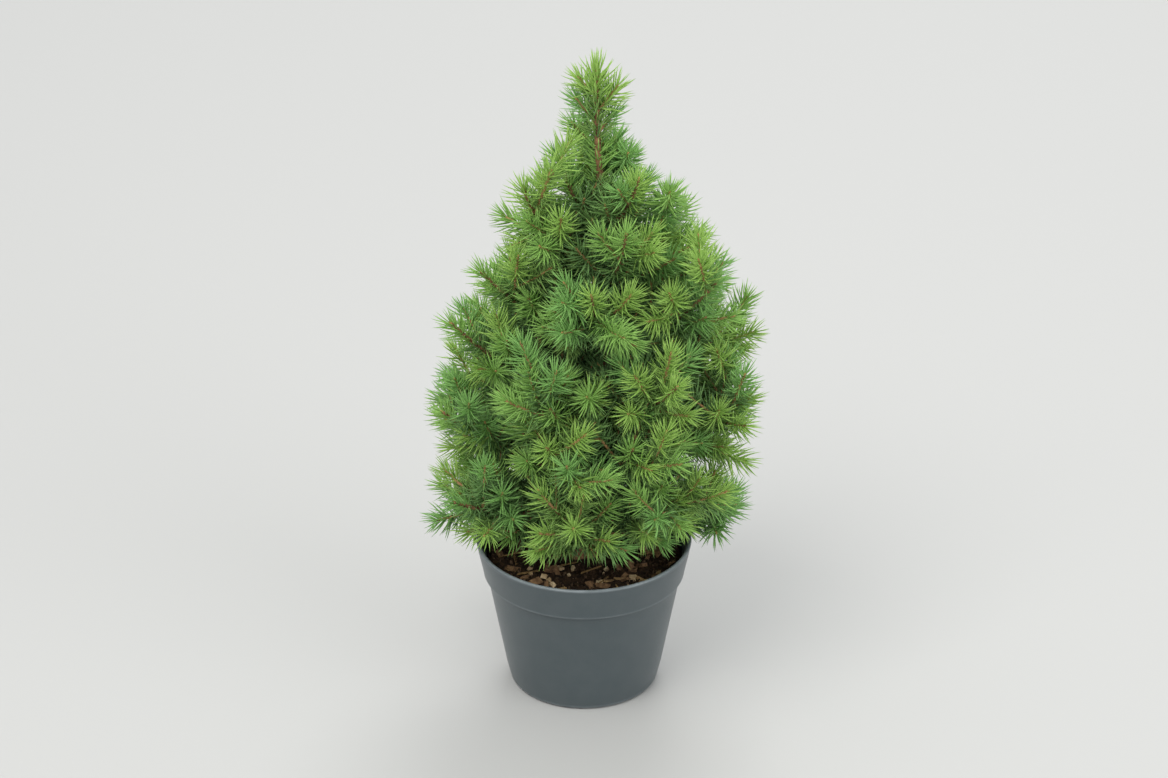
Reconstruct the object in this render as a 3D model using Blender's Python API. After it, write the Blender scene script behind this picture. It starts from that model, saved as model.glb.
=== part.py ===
"""A young dwarf Alberta spruce in a small round nursery pot.

Metres, +Z up. The origin is the middle of the pot's flat underside, and the plant is seen from the -Y side.
The trunk stands on the potting soil. Boughs leave it in tiers, and each carries one mass of foliage; the
masses of the upper tiers start at the trunk. A mass is a stem with side sprays. A spray is a slim
three-sided core whose faces are drawn out into needles.
"""

import math
import random
from collections import namedtuple

import bmesh
import bpy
import numpy as np
from mathutils import Vector

# Pot
POT_HEIGHT = 0.060
POT_RIM_RADIUS = 0.041
POT_FOOT_RADIUS = 0.0285
POT_WALL = 0.0011
COLLAR_HEIGHT = 0.014
COLLAR_STEP = 0.0013
RIM_ROUND = 0.0008
FOOT_ROUND = 0.0020
DRAIN_COUNT = 8
DRAIN_RADIUS = 0.0030
DRAIN_CIRCLE = 0.0210
DRAIN_SIDES = 8
POT_SIDES = 36

# Soil
SOIL_DROP = 0.007
SOIL_TOP = POT_HEIGHT - SOIL_DROP
SOIL_BUMP = 0.0014
SOIL_RINGS = 5
SOIL_SIDES = 20
SOIL_SEAT = 0.007

# Trunk, measured upwards from the soil
TRUNK_LENGTH = 0.171
TRUNK_FOOT_RADIUS = 0.0034
TRUNK_TIP_RADIUS = 0.0011
FLARE_RADIUS = 0.0026
FLARE_HEIGHT = 0.009
TRUNK_LEAN = 0.0035
TRUNK_BOW = 0.0055
TRUNK_SWAY = 0.0018
TRUNK_RINGS = 15
TRUNK_SIDES = 9
BARK_BULGE = 1.08

# Boughs
WHORL_SPREAD = 0.014
ROOT_SPREAD = 0.001
HEADING_SPREAD_DEG = 8
RISE_SPREAD_DEG = 5
TIP_RISE_SPREAD_DEG = 6
STEM_SHARES = (0.86, 1.12)
BOUGH_TAPER = 0.70
BOUGH_REACH = 0.0016
BOUGH_SIDES = 6
BOUGH_RINGS = 4

# Foliage
CORE_RADIUS = 0.0014
CORE_TAPER = 0.4
STEM_FOOT_RADIUS = 0.0009
SPRAY_FOOT_RADIUS = 0.0007
CORE_STEP = 0.0042
CORE_TWIST = math.radians(40)
NEEDLE_LENGTH = 0.0124
NEEDLE_LEAN = math.radians(62)
TIP_NEEDLE_LEAN = math.radians(34)
LEAN_SPREAD = math.radians(7)
NEEDLE_SPREAD = (0.85, 1.1)
NEEDLE_SHARES = (1.0, 0.8, 0.6)
NEEDLE_SAMPLES = (0.2, 0.45, 0.7, 1.0)
APART = 0.0013
RIM_CLEAR = 0.003
RIM_HANG = 0.012
SPRAY_FOOT = 0.0035
SPRAY_ANGLE = math.radians(50)
SPRAY_LIFT = 0.16
SPRAY_PLACE_SPREAD = 0.03
SPRAY_ROLL_SPREAD_DEG = 14
SPRAY_ANGLE_SPREAD_DEG = 6
SPRAY_SHARES = (0.85, 1.15)
SPRAY_FULL_LIMB = 0.062
LEADER_LENGTH = 0.029
LEADER_RISE = math.radians(88)
LEADER_BEND = math.radians(3)

# A tier: node name, height of its roots, number of limbs, heading of the first, slope at root and tip in
# degrees, how much steeper the limbs towards -Y are, radius at the root, length of the bough and of the stem
# beyond it
Tier = namedtuple("Tier", "name height count heading rise tip_rise lift thick bough stem")
TIERS = (
    Tier("low", 0.014, 7, 12, 0, 14, 24, 0.0017, 0.015, 0.044),
    Tier("waist", 0.035, 7, 38, 15, 40, 8, 0.0016, 0.015, 0.052),
    Tier("middle", 0.060, 6, 5, 22, 50, 0, 0.0014, 0.013, 0.053),
    Tier("upper", 0.087, 5, 40, 28, 56, 0, 0.0010, 0.0, 0.060),
    Tier("shoulder", 0.115, 4, 20, 38, 68, 0, 0.0010, 0.0, 0.051),
    Tier("top", 0.140, 3, 75, 46, 74, 0, 0.0009, 0.0, 0.036),
)

# Where a stem's side sprays leave it: how far along, how far round from its left side, and how long
Station = namedtuple("Station", "along roll length")
STATIONS = (
    Station(0.10, 20, 0.020),
    Station(0.26, 160, 0.025),
    Station(0.46, 28, 0.023),
    Station(0.64, 152, 0.019),
    Station(0.38, 92, 0.021),
)

Limb = namedtuple("Limb", "root heading rise bend thick bough length")

GAP = 0.0003
WELD = 0.0000002
SLIVER = 0.000005
SEED = 41

rng = random.Random(SEED)


def either_way(spread):
    """A seeded draw from -spread to spread."""
    return rng.uniform(-spread, spread)


def clear_scene():
    for old in list(bpy.data.objects):
        bpy.data.objects.remove(old, do_unlink=True)


def material(name, colour, roughness, metallic=0.0):
    made = bpy.data.materials.new(name)
    made.use_nodes = True
    shader = made.node_tree.nodes["Principled BSDF"]
    shader.inputs["Base Color"].default_value = (*colour, 1.0)
    shader.inputs["Roughness"].default_value = roughness
    shader.inputs["Metallic"].default_value = metallic
    return made


def solid(name, points, faces, surface, smooth_below=None):
    """One closed mesh object. Edges bent less than smooth_below degrees are shaded smooth."""
    mesh = bpy.data.meshes.new(name)
    mesh.from_pydata([tuple(p) for p in points], [], faces)
    mesh.materials.append(surface)
    mesh.validate()
    if smooth_below is not None:
        mesh.shade_smooth()
        mesh.set_sharp_from_angle(angle=math.radians(smooth_below))
    made = bpy.data.objects.new(name, mesh)
    bpy.context.scene.collection.objects.link(made)
    return made


def keep_largest(mesh):
    """Fill the hollows that fusing sealed and drop loose scraps: only the largest shell is kept."""
    shells = bmesh.new()
    shells.from_mesh(mesh)
    bmesh.ops.dissolve_degenerate(shells, edges=shells.edges, dist=SLIVER)
    bmesh.ops.triangulate(shells, faces=shells.faces)
    unseen = set(shells.faces)
    groups = []
    while unseen:
        group = []
        queue = [unseen.pop()]
        while queue:
            face = queue.pop()
            group.append(face)
            near = {f for edge in face.edges if len(edge.link_faces) == 2 for f in edge.link_faces}
            queue += near & unseen
            unseen -= near
        groups.append(group)
    groups.sort(key=len)
    loose = [face for group in groups[:-1] for face in group]
    bmesh.ops.delete(shells, geom=loose, context="FACES")
    shells.to_mesh(mesh)
    shells.free()


def is_sound(mesh):
    """Whether every edge still joins two faces once points closer than the weld distance are one."""
    welded = bmesh.new()
    welded.from_mesh(mesh)
    bmesh.ops.remove_doubles(welded, verts=welded.verts, dist=WELD)
    sound = len(welded.faces) > 0 and all(len(edge.link_faces) == 2 for edge in welded.edges)
    welded.free()
    return sound


def circle_point(radius, angle, z):
    return Vector((radius * math.cos(angle), radius * math.sin(angle), z))


def turned(profile, sides):
    """Points and faces of a profile of (radius, z) turned about Z, from the axis below to the axis above."""
    points = [Vector((0, 0, profile[0][1]))]
    for radius, z in profile[1:-1]:
        points += [circle_point(radius, math.tau * k / sides, z) for k in range(sides)]
    points.append(Vector((0, 0, profile[-1][1])))
    last = len(points) - 1
    top = 1 + (len(profile) - 3) * sides
    faces = []
    for k in range(sides):
        n = (k + 1) % sides
        faces.append((0, 1 + n, 1 + k))
        for ring in range(len(profile) - 3):
            a = 1 + ring * sides
            b = a + sides
            faces.append((a + k, a + n, b + n, b + k))
        faces.append((last, top + k, top + n))
    return points, faces


def lofted(rings):
    """Points and faces of a closed rod through rings, each counter-clockwise seen from the far end."""
    sides = len(rings[0])
    points = [p for ring in rings for p in ring]
    faces = [tuple(reversed(range(sides)))]
    for ring in range(len(rings) - 1):
        a = ring * sides
        b = a + sides
        faces += [(a + k, a + (k + 1) % sides, b + (k + 1) % sides, b + k) for k in range(sides)]
    faces.append(tuple(range(len(points) - sides, len(points))))
    return points, faces


def frame_of(direction):
    """Two unit vectors square to direction. The first is level and points to its left."""
    side = Vector((0, 0, 1)).cross(direction)
    if side.length < 0.05:
        side = Vector((1, 0, 0))
    side.normalize()
    over = direction.cross(side).normalized()
    return side, over


def ring_at(middle, direction, radius, sides, turn=0.0):
    side, over = frame_of(direction)
    angles = [turn + math.tau * k / sides for k in range(sides)]
    return [middle + (side * math.cos(a) + over * math.sin(a)) * radius for a in angles]


# The pot

def pot_outer_radius(z):
    """The tapered body's outer radius, below the collar."""
    top = POT_RIM_RADIUS - COLLAR_STEP
    return POT_FOOT_RADIUS + (top - POT_FOOT_RADIUS) * z / POT_HEIGHT


def pot_inner_radius(z):
    return pot_outer_radius(z) - POT_WALL


def pot_profile():
    collar = POT_HEIGHT - COLLAR_HEIGHT
    return [
        (0, 0),
        (POT_FOOT_RADIUS - FOOT_ROUND, 0),
        (POT_FOOT_RADIUS - 0.3 * FOOT_ROUND, 0.3 * FOOT_ROUND),
        (pot_outer_radius(FOOT_ROUND), FOOT_ROUND),
        (pot_outer_radius(collar), collar),
        (pot_outer_radius(collar) + COLLAR_STEP, collar + 0.4 * COLLAR_STEP),
        (POT_RIM_RADIUS, POT_HEIGHT - RIM_ROUND),
        (POT_RIM_RADIUS - RIM_ROUND, POT_HEIGHT),
        (pot_inner_radius(POT_HEIGHT), POT_HEIGHT),
        (pot_inner_radius(POT_WALL + FOOT_ROUND), POT_WALL + FOOT_ROUND),
        (pot_inner_radius(POT_WALL) - FOOT_ROUND, POT_WALL),
        (0, POT_WALL),
    ]


def make_pot(surface):
    pot = solid("pot", *turned(pot_profile(), POT_SIDES), surface, smooth_below=30)
    drill = bmesh.new()
    for k in range(DRAIN_COUNT):
        hole = bmesh.ops.create_cone(
            drill,
            cap_ends=True,
            segments=DRAIN_SIDES,
            radius1=DRAIN_RADIUS,
            radius2=DRAIN_RADIUS,
            depth=6 * POT_WALL,
        )
        centre = circle_point(DRAIN_CIRCLE, math.tau * (k + 0.5) / DRAIN_COUNT, 0)
        bmesh.ops.translate(drill, verts=hole["verts"], vec=centre)
    mesh = bpy.data.meshes.new("drain_cutter")
    drill.to_mesh(mesh)
    drill.free()
    cutter = bpy.data.objects.new("drain_cutter", mesh)
    bpy.context.scene.collection.objects.link(cutter)
    cutter.hide_render = True
    cutter.display_type = "WIRE"
    holes = pot.modifiers.new("drain_holes", "BOOLEAN")
    holes.operation = "DIFFERENCE"
    holes.object = cutter


# The soil

def soil_height(x, y):
    """The soil's surface: low waves that die away under the trunk's foot."""
    away = min(1.0, max(0.0, math.hypot(x, y) - SOIL_SEAT) / 0.01)
    wave = math.sin(170 * x + 1.3) * math.cos(150 * y - 0.4) + 0.6 * math.sin(260 * (x - y))
    return SOIL_TOP + SOIL_BUMP * away * (wave / 1.6 - 0.4)


def make_soil(surface):
    """The root ball fills the pot. Its side follows the pot's inner wall, just clear of it."""
    floor = POT_WALL + GAP
    foot = floor + FOOT_ROUND
    edge = pot_inner_radius(SOIL_TOP) - 2 * GAP
    profile = [
        (0, floor),
        (pot_inner_radius(floor) - FOOT_ROUND - 2 * GAP, floor),
        (pot_inner_radius(foot) - 2 * GAP, foot),
    ]
    profile += [(edge + (SOIL_SEAT - edge) * k / (SOIL_RINGS - 1), SOIL_TOP) for k in range(SOIL_RINGS)]
    profile.append((0, SOIL_TOP))
    points, faces = turned(profile, SOIL_SIDES)
    for p in points:
        if p.z == SOIL_TOP:
            p.z = soil_height(p.x, p.y)
    solid("soil", points, faces, surface, smooth_below=60)


# The trunk

def trunk_point(height):
    """The trunk's middle at this height above the soil: it leans and bows to +X and sways a little."""
    t = height / TRUNK_LENGTH
    x = TRUNK_LEAN * t + TRUNK_BOW * math.sin(math.pi * 0.92 * t)
    y = TRUNK_SWAY * math.sin(1.7 * math.pi * t)
    return Vector((x, y, SOIL_TOP + GAP + height))


def trunk_height(z):
    return z - SOIL_TOP - GAP


def trunk_radius(height):
    t = min(max(height / TRUNK_LENGTH, 0), 1)
    body = TRUNK_FOOT_RADIUS + (TRUNK_TIP_RADIUS - TRUNK_FOOT_RADIUS) * t**0.8
    return body + FLARE_RADIUS * math.exp(-2 * (height / FLARE_HEIGHT) ** 2)


def trunk_face(height):
    """How far from the trunk's middle a face that lies against its bark is."""
    return trunk_radius(height) * BARK_BULGE + GAP


def make_trunk(surface):
    """Level rings, so the foot is a flat cut on the soil. The flare has lobes where the main roots start."""
    rings = []
    for k in range(TRUNK_RINGS):
        height = TRUNK_LENGTH * (k / (TRUNK_RINGS - 1)) ** 1.6
        middle = trunk_point(height)
        flare = math.exp(-height / FLARE_HEIGHT)
        ring = []
        for s in range(TRUNK_SIDES):
            angle = math.tau * s / TRUNK_SIDES
            lobe = 1 + 0.16 * flare * math.cos(3 * angle + 0.6) + 0.03 * math.sin(5 * angle + 40 * height)
            ring.append(middle + circle_point(trunk_radius(height) * lobe, angle, 0))
        rings.append(ring)
    solid("trunk", *lofted(rings), surface, smooth_below=50)


# Limbs: each is an arc in an upright plane, whose slope grows evenly from root to tip

def limb_point(limb, along):
    start = limb.rise
    end = start + limb.bend * along
    out = (math.sin(end) - math.sin(start)) / limb.bend
    up = (math.cos(start) - math.cos(end)) / limb.bend
    return limb.root + circle_point(out, limb.heading, up)


def limb_direction(limb, along):
    slope = limb.rise + limb.bend * along
    return circle_point(math.cos(slope), limb.heading, math.sin(slope))


def grow_limbs():
    """Every limb by its node name's ending, in order up the trunk."""
    limbs = {}
    for tier in TIERS:
        for k in range(tier.count):
            heading = math.radians(tier.heading + 360 * k / tier.count + either_way(HEADING_SPREAD_DEG))
            stagger = WHORL_SPREAD * (3 * k % tier.count / tier.count - 0.5)
            root = trunk_point(tier.height + stagger + either_way(ROOT_SPREAD))
            lift = tier.lift * max(0.0, -math.sin(heading))
            rise = math.radians(tier.rise + lift + either_way(RISE_SPREAD_DEG))
            tip_rise = math.radians(tier.tip_rise + lift + either_way(TIP_RISE_SPREAD_DEG))
            length = tier.bough + tier.stem * rng.uniform(*STEM_SHARES)
            bend = (tip_rise - rise) / length
            limbs[f"{tier.name}_{k + 1}"] = Limb(root, heading, rise, bend, tier.thick, tier.bough, length)
    return limbs


def against_trunk(point, outward):
    """The point moved level along outward onto the upright face that lies against the bark."""
    height = trunk_height(point.z)
    off = (point - trunk_point(height)).dot(outward)
    return point + outward * (trunk_face(height) - off)


def make_bough(name, limb, surface):
    """The root's face lies against the trunk. The other rings are square to the limb."""
    start = trunk_face(trunk_height(limb.root.z)) / math.cos(limb.rise)
    outward = circle_point(1, limb.heading, 0)
    rings = []
    for k in range(BOUGH_RINGS):
        along = start + (limb.bough - start) * k / (BOUGH_RINGS - 1)
        radius = limb.thick * (1 + (BOUGH_TAPER - 1) * along / limb.bough)
        ring = ring_at(limb_point(limb, along), limb_direction(limb, along), radius, BOUGH_SIDES)
        rings.append([against_trunk(p, outward) for p in ring] if k == 0 else ring)
    solid(f"bough_{name}", *lofted(rings), surface, smooth_below=50)


def stem_start(limb):
    """How far along a limb its mass starts: at the bough's tip, or where its foot is clear of the trunk."""
    if limb.bough:
        return limb.bough + GAP
    along = 0.0
    clear = False
    while not clear:
        along += GAP / 3
        ring = ring_at(limb_point(limb, along), limb_direction(limb, along), STEM_FOOT_RADIUS, 6)
        offs = [(p - trunk_point(trunk_height(p.z))).length - trunk_face(trunk_height(p.z)) for p in ring]
        clear = min(offs) > 0
    return along


def stem_path(limb, first):
    """The middle line of the limb's stem, in equal steps from its start to its tip."""
    steps = round((limb.length - first) / CORE_STEP)
    return [limb_point(limb, first + (limb.length - first) * k / steps) for k in range(steps + 1)]


# The space of each mass: the points nearer to its own stem than to any other, clear of limbs, pot and soil

def path_segments(points):
    array = np.array([tuple(p) for p in points])
    return array[:-1], array[1:]


def distances(points, segments):
    """How far each point is from the nearest of a path's segments."""
    starts, ends = segments
    run = ends - starts
    rel = points[:, None, :] - starts[None]
    along = np.clip((rel * run).sum(2) / (run * run).sum(1), 0, 1)
    return np.linalg.norm(rel - along[..., None] * run, axis=2).min(1)


class Space:
    """Where each mass may grow."""

    def __init__(self, limbs, stems):
        self.stems = {name: path_segments(path) for name, path in stems.items()}
        self.trunk = path_segments([trunk_point(TRUNK_LENGTH * k / 12) for k in range(13)])
        self.boughs = [
            path_segments([limb_point(limb, limb.bough * k / 3) for k in range(4)])
            for limb in limbs.values()
            if limb.bough
        ]

    def room(self, owner, points):
        """How large a ball at each point stays in the owner's space."""
        points = np.array([tuple(p) for p in points])
        own = distances(points, self.stems[owner])
        others = [stem for name, stem in self.stems.items() if name != owner]
        room = (np.min([distances(points, stem) for stem in others], axis=0) - own) / 2
        thick = np.array([trunk_face(trunk_height(z)) for z in points[:, 2]])
        room = np.minimum(room, distances(points, self.trunk) - thick)
        for bough in self.boughs:
            room = np.minimum(room, distances(points, bough) - BOUGH_REACH)
        radial = np.hypot(points[:, 0], points[:, 1])
        over_soil = radial < pot_inner_radius(POT_HEIGHT) - RIM_CLEAR
        past_rim = radial > POT_RIM_RADIUS + RIM_CLEAR
        floor = np.where(over_soil, SOIL_TOP + SOIL_BUMP, POT_HEIGHT + 0.001)
        floor = np.where(past_rim, POT_HEIGHT - RIM_HANG, floor)
        return np.minimum(room, points[:, 2] - floor)


# Sprays

class Growth:
    """One mass while it grows: its name, the space around it, and its needles and cores so far."""

    def __init__(self, name, space):
        self.name = name
        self.space = space
        self.parts = []

    def fits(self, reach, others):
        """Whether the points of a needle stay in the space and apart from the parts of the other sprays."""
        if self.space.room(self.name, reach).min() < GAP:
            return False
        points = np.array([tuple(p) for p in reach])
        return all(distances(points, other).min() > APART for other in others)


def drawn_out(points, face, axis_point, forward, lean, growth, others):
    """The face drawn out into one needle as long as there is room for, or left as it is."""
    middle = sum((points[i] for i in face), Vector()) / len(face)
    foot = axis_point + forward * (middle - axis_point).dot(forward)
    outward = (middle - foot).normalized()
    aim = forward * math.cos(lean) + outward * math.sin(lean)
    length = NEEDLE_LENGTH * rng.uniform(*NEEDLE_SPREAD)
    for share in NEEDLE_SHARES:
        reach = [middle + aim * length * share * part for part in NEEDLE_SAMPLES]
        if growth.fits(reach, others):
            points.append(reach[-1])
            growth.parts.append(path_segments([middle, reach[-1]]))
            apex = len(points) - 1
            return [(a, b, apex) for a, b in zip(face, face[1:] + face[:1])]
    if len(face) == 3:
        return [face]
    return [face[:3], (face[0], face[2], face[3])]


def spray(path, foot_radius, growth):
    """Points and faces of a core along path, with needles from its second ring to its tip."""
    others = list(growth.parts)
    rings = len(path) - 1
    points = []
    forwards = [(path[k + 1] - path[max(k - 1, 0)]).normalized() for k in range(rings)]
    for k, forward in enumerate(forwards):
        radius = foot_radius if k == 0 else CORE_RADIUS * (1 - CORE_TAPER * (k / rings) ** 2)
        points += ring_at(path[k], forward, radius, 3, CORE_TWIST * k)
    tip = len(points)
    points.append(path[-1])
    faces = [(2, 1, 0)]
    for k in range(rings):
        for corner in range(3):
            a = 3 * k + corner
            b = 3 * k + (corner + 1) % 3
            face = (a, b, tip) if k == rings - 1 else (a, b, b + 3, a + 3)
            if k == 0:
                faces.append(face)
                continue
            lean = NEEDLE_LEAN + (TIP_NEEDLE_LEAN - NEEDLE_LEAN) * k / rings
            lean += either_way(LEAN_SPREAD)
            faces += drawn_out(points, face, path[k], forwards[k], lean, growth, others)
    growth.parts.append(path_segments(path))
    return points, faces


def side_spray_path(limb, station, growth):
    """A side spray's middle line, which lifts a little and ends where the space does."""
    first = limb.bough
    along = first + (limb.length - first) * (station.along + either_way(SPRAY_PLACE_SPREAD))
    foot = limb_point(limb, along)
    direction = limb_direction(limb, along)
    side, over = frame_of(direction)
    roll = math.radians(station.roll + either_way(SPRAY_ROLL_SPREAD_DEG))
    angle = SPRAY_ANGLE + math.radians(either_way(SPRAY_ANGLE_SPREAD_DEG))
    aim = direction * math.cos(angle) + (side * math.cos(roll) + over * math.sin(roll)) * math.sin(angle)
    length = station.length * rng.uniform(*SPRAY_SHARES) * min(1.0, limb.length / SPRAY_FULL_LIMB)
    steps = max(2, round((length - SPRAY_FOOT) / CORE_STEP))
    lengths = [0] + [SPRAY_FOOT + (length - SPRAY_FOOT) * k / steps for k in range(steps + 1)]
    path = [foot + aim * s + Vector((0, 0, SPRAY_LIFT * s * s / length)) for s in lengths]
    room = growth.space.room(growth.name, path)
    kept = next((k for k in range(1, len(path)) if room[k] < CORE_RADIUS), len(path))
    return path[:kept]


def make_mass(name, path, limb, space, surface):
    """The stem and its side sprays, joined into one solid. They grow anew until the join is sound."""
    mass = None
    while mass is None:
        growth = Growth(name, space)
        mass = solid(f"foliage_{name}", *spray(path, STEM_FOOT_RADIUS, growth), surface)
        sides = bpy.data.collections.new(f"sprays_{name}")
        bpy.context.scene.collection.children.link(sides)
        for station in STATIONS:
            side_path = side_spray_path(limb, station, growth)
            if len(side_path) < 3:
                continue
            part = solid(f"spray_{name}", *spray(side_path, SPRAY_FOOT_RADIUS, growth), surface)
            bpy.context.scene.collection.objects.unlink(part)
            sides.objects.link(part)
        joined = joined_mesh(mass, sides)
        if joined is None:
            bpy.data.objects.remove(mass, do_unlink=True)
            mass = None
        for part in list(sides.objects):
            bpy.data.objects.remove(part, do_unlink=True)
        bpy.data.collections.remove(sides)
    mass.data = joined


def joined_mesh(mass, sides):
    """The mesh of the mass fused with the collection's objects, or None where no solver leaves it sound."""
    if not sides.objects:
        return mass.data
    join = mass.modifiers.new("join", "BOOLEAN")
    join.operation = "UNION"
    join.operand_type = "COLLECTION"
    join.collection = sides
    found = None
    for solver in ("MANIFOLD", "EXACT"):
        join.solver = solver
        bpy.context.view_layer.update()
        graph = bpy.context.evaluated_depsgraph_get()
        mesh = bpy.data.meshes.new_from_object(mass.evaluated_get(graph))
        keep_largest(mesh)
        if is_sound(mesh):
            found = mesh
            break
    mass.modifiers.remove(join)
    return found


def main():
    clear_scene()
    plastic = material("pot_plastic", (0.135, 0.150, 0.165), 0.42)
    soil = material("potting_soil", (0.050, 0.032, 0.022), 0.95)
    bark = material("bark", (0.235, 0.140, 0.085), 0.85)
    twig = material("bough_bark", (0.330, 0.190, 0.105), 0.80)
    needles = material("needles", (0.160, 0.330, 0.070), 0.55)
    make_pot(plastic)
    make_soil(soil)
    make_trunk(bark)
    limbs = grow_limbs()
    top = trunk_point(TRUNK_LENGTH) + Vector((0, 0, GAP))
    bend = LEADER_BEND / LEADER_LENGTH
    leader = Limb(top, math.pi, LEADER_RISE, bend, STEM_FOOT_RADIUS, 0.0, LEADER_LENGTH)
    stems = {name: stem_path(limb, stem_start(limb)) for name, limb in limbs.items()}
    stems["leader"] = stem_path(leader, 0.0)
    space = Space(limbs, stems)
    for name, limb in limbs.items():
        if limb.bough:
            make_bough(name, limb, twig)
    for name, limb in [*limbs.items(), ("leader", leader)]:
        make_mass(name, stems[name], limb, space, needles)


main()
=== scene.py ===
# %% [markdown]
# # A young dwarf spruce in a nursery pot
# The CAD model of the plant comes in as a fixed frame: a pot, the soil, a trunk, twenty boughs and
# one spiky mass for each tuft of foliage. This lesson dresses it. The masses are coarse, so they
# are grown again here by the same rule, down to single needles. The CAD model's box is kept before
# anything is made, and no piece goes much more than a millimetre past it.

# %% Load the frame
import math
import random
from collections import namedtuple

import bmesh
import bpy
import numpy as np
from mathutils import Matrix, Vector, noise


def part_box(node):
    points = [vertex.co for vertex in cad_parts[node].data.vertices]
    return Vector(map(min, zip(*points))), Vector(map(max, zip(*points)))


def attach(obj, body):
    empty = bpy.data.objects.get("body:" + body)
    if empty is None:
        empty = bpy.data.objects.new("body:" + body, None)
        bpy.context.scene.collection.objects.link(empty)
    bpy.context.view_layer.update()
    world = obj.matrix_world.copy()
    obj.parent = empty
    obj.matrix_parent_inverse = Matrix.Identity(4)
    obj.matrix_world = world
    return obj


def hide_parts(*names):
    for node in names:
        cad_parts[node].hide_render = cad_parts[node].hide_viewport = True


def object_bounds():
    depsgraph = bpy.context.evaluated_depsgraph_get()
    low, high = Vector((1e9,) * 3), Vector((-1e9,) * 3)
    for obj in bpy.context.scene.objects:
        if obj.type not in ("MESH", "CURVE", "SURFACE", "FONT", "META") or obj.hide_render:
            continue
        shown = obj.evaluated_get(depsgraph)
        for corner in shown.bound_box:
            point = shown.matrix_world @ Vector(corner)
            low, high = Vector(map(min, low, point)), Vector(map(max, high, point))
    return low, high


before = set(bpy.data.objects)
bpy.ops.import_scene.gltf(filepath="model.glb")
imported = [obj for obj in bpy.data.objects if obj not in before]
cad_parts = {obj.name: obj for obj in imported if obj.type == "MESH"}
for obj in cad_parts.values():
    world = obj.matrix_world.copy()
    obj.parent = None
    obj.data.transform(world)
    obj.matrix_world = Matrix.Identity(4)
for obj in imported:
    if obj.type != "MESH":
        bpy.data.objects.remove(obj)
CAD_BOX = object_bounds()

NODES = sorted(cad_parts)
print(len(NODES), "nodes, box in mm", [[round(1000 * c, 1) for c in corner] for corner in CAD_BOX])

# %% [markdown]
# ## The view
# The plant was seen from above its top, about a metre and a half away. The camera keeps that place,
# so the rim of the pot shows the same slim oval and the soil shows in it. A longer lens brings the
# single plant closer without changing the view on it.

# %% Camera
VIEW_FROM = Vector((0.0, -1.31, 0.81))
VIEW_AT = Vector((0.0, 0.0, 0.1235))
LENS_MM = 122
SENSOR_MM = 36

camera = bpy.data.objects.new("camera", bpy.data.cameras.new("camera"))
bpy.context.scene.collection.objects.link(camera)
camera.data.lens = LENS_MM
camera.data.sensor_width = SENSOR_MM
camera.location = VIEW_FROM
camera.rotation_euler = (VIEW_AT - VIEW_FROM).to_track_quat("-Z", "Y").to_euler()
bpy.context.scene.camera = camera
slope = math.degrees(math.atan2(VIEW_FROM.z - VIEW_AT.z, -VIEW_FROM.y))
print("camera looks down by", round(slope, 1), "degrees")

# %% [markdown]
# ## Floor and light
# The floor is plain and pale. A single sun lamp would be simpler, but every needle throws a shadow
# of its own, and hard ones would blacken the crown. So three large area lights work as a studio's
# soft boxes do: their size keeps the shadows soft. The world's grey fills the rest.

# %% Floor and lamps
FLOOR_SIZE = 12.0
FLOOR_COLOUR = (0.47, 0.47, 0.457)

bpy.context.scene.view_settings.view_transform = "Standard"


def link(name, data):
    """A new object of the scene that carries this data."""
    made = bpy.data.objects.new(name, data)
    bpy.context.scene.collection.objects.link(made)
    return made


def soft_box(name, place, size, power, colour=(1, 1, 1)):
    """A square area light that looks at the middle of the plant."""
    lamp = bpy.data.lights.new(name, "AREA")
    lamp.size = size
    lamp.energy = power
    lamp.color = colour
    made = link(name, lamp)
    made.location = place
    made.rotation_euler = (VIEW_AT - Vector(place)).to_track_quat("-Z", "Y").to_euler()


world = bpy.data.worlds.new("studio")
world.use_nodes = True
sky = world.node_tree.nodes["Background"].inputs
sky["Color"].default_value = (0.96, 0.98, 1.0, 1)
sky["Strength"].default_value = 0.84
bpy.context.scene.world = world

soft_box("key_light", (-0.65, -0.95, 1.75), 1.2, 23, (1.0, 0.985, 0.955))
soft_box("fill_light", (1.3, -0.9, 0.9), 1.2, 9)
soft_box("back_light", (0.3, 1.3, 1.5), 1.0, 14)

half = FLOOR_SIZE / 2
floor_mesh = bpy.data.meshes.new("floor")
corners = [(-half, -half, 0), (half, -half, 0), (half, half, 0), (-half, half, 0)]
floor_mesh.from_pydata(corners, [], [(0, 1, 2, 3)])
floor = link("floor", floor_mesh)
floor_finish = bpy.data.materials.new("floor_finish")
floor_finish.use_nodes = True
floor_shader = floor_finish.node_tree.nodes["Principled BSDF"].inputs
floor_shader["Base Color"].default_value = (*FLOOR_COLOUR, 1)
floor_shader["Roughness"].default_value = 0.6
floor_mesh.materials.append(floor_finish)

# %% [markdown]
# ## Helpers for node trees
# A node tree written as code gets long when every link is a line of its own. `add` places one node,
# fills its open sockets in order or by name, and links wherever a value is another node. `out`
# picks one output of a node that has several. The others are short forms of `add`.

# %% Node helpers
FAMILIES = {"ShaderNodeTree": ("Shader",), "GeometryNodeTree": ("Geometry", "Function", "Shader")}
NODES_IN_ROW = 9
NODE_WIDTH = 230
NODE_HEIGHT = 260


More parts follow.
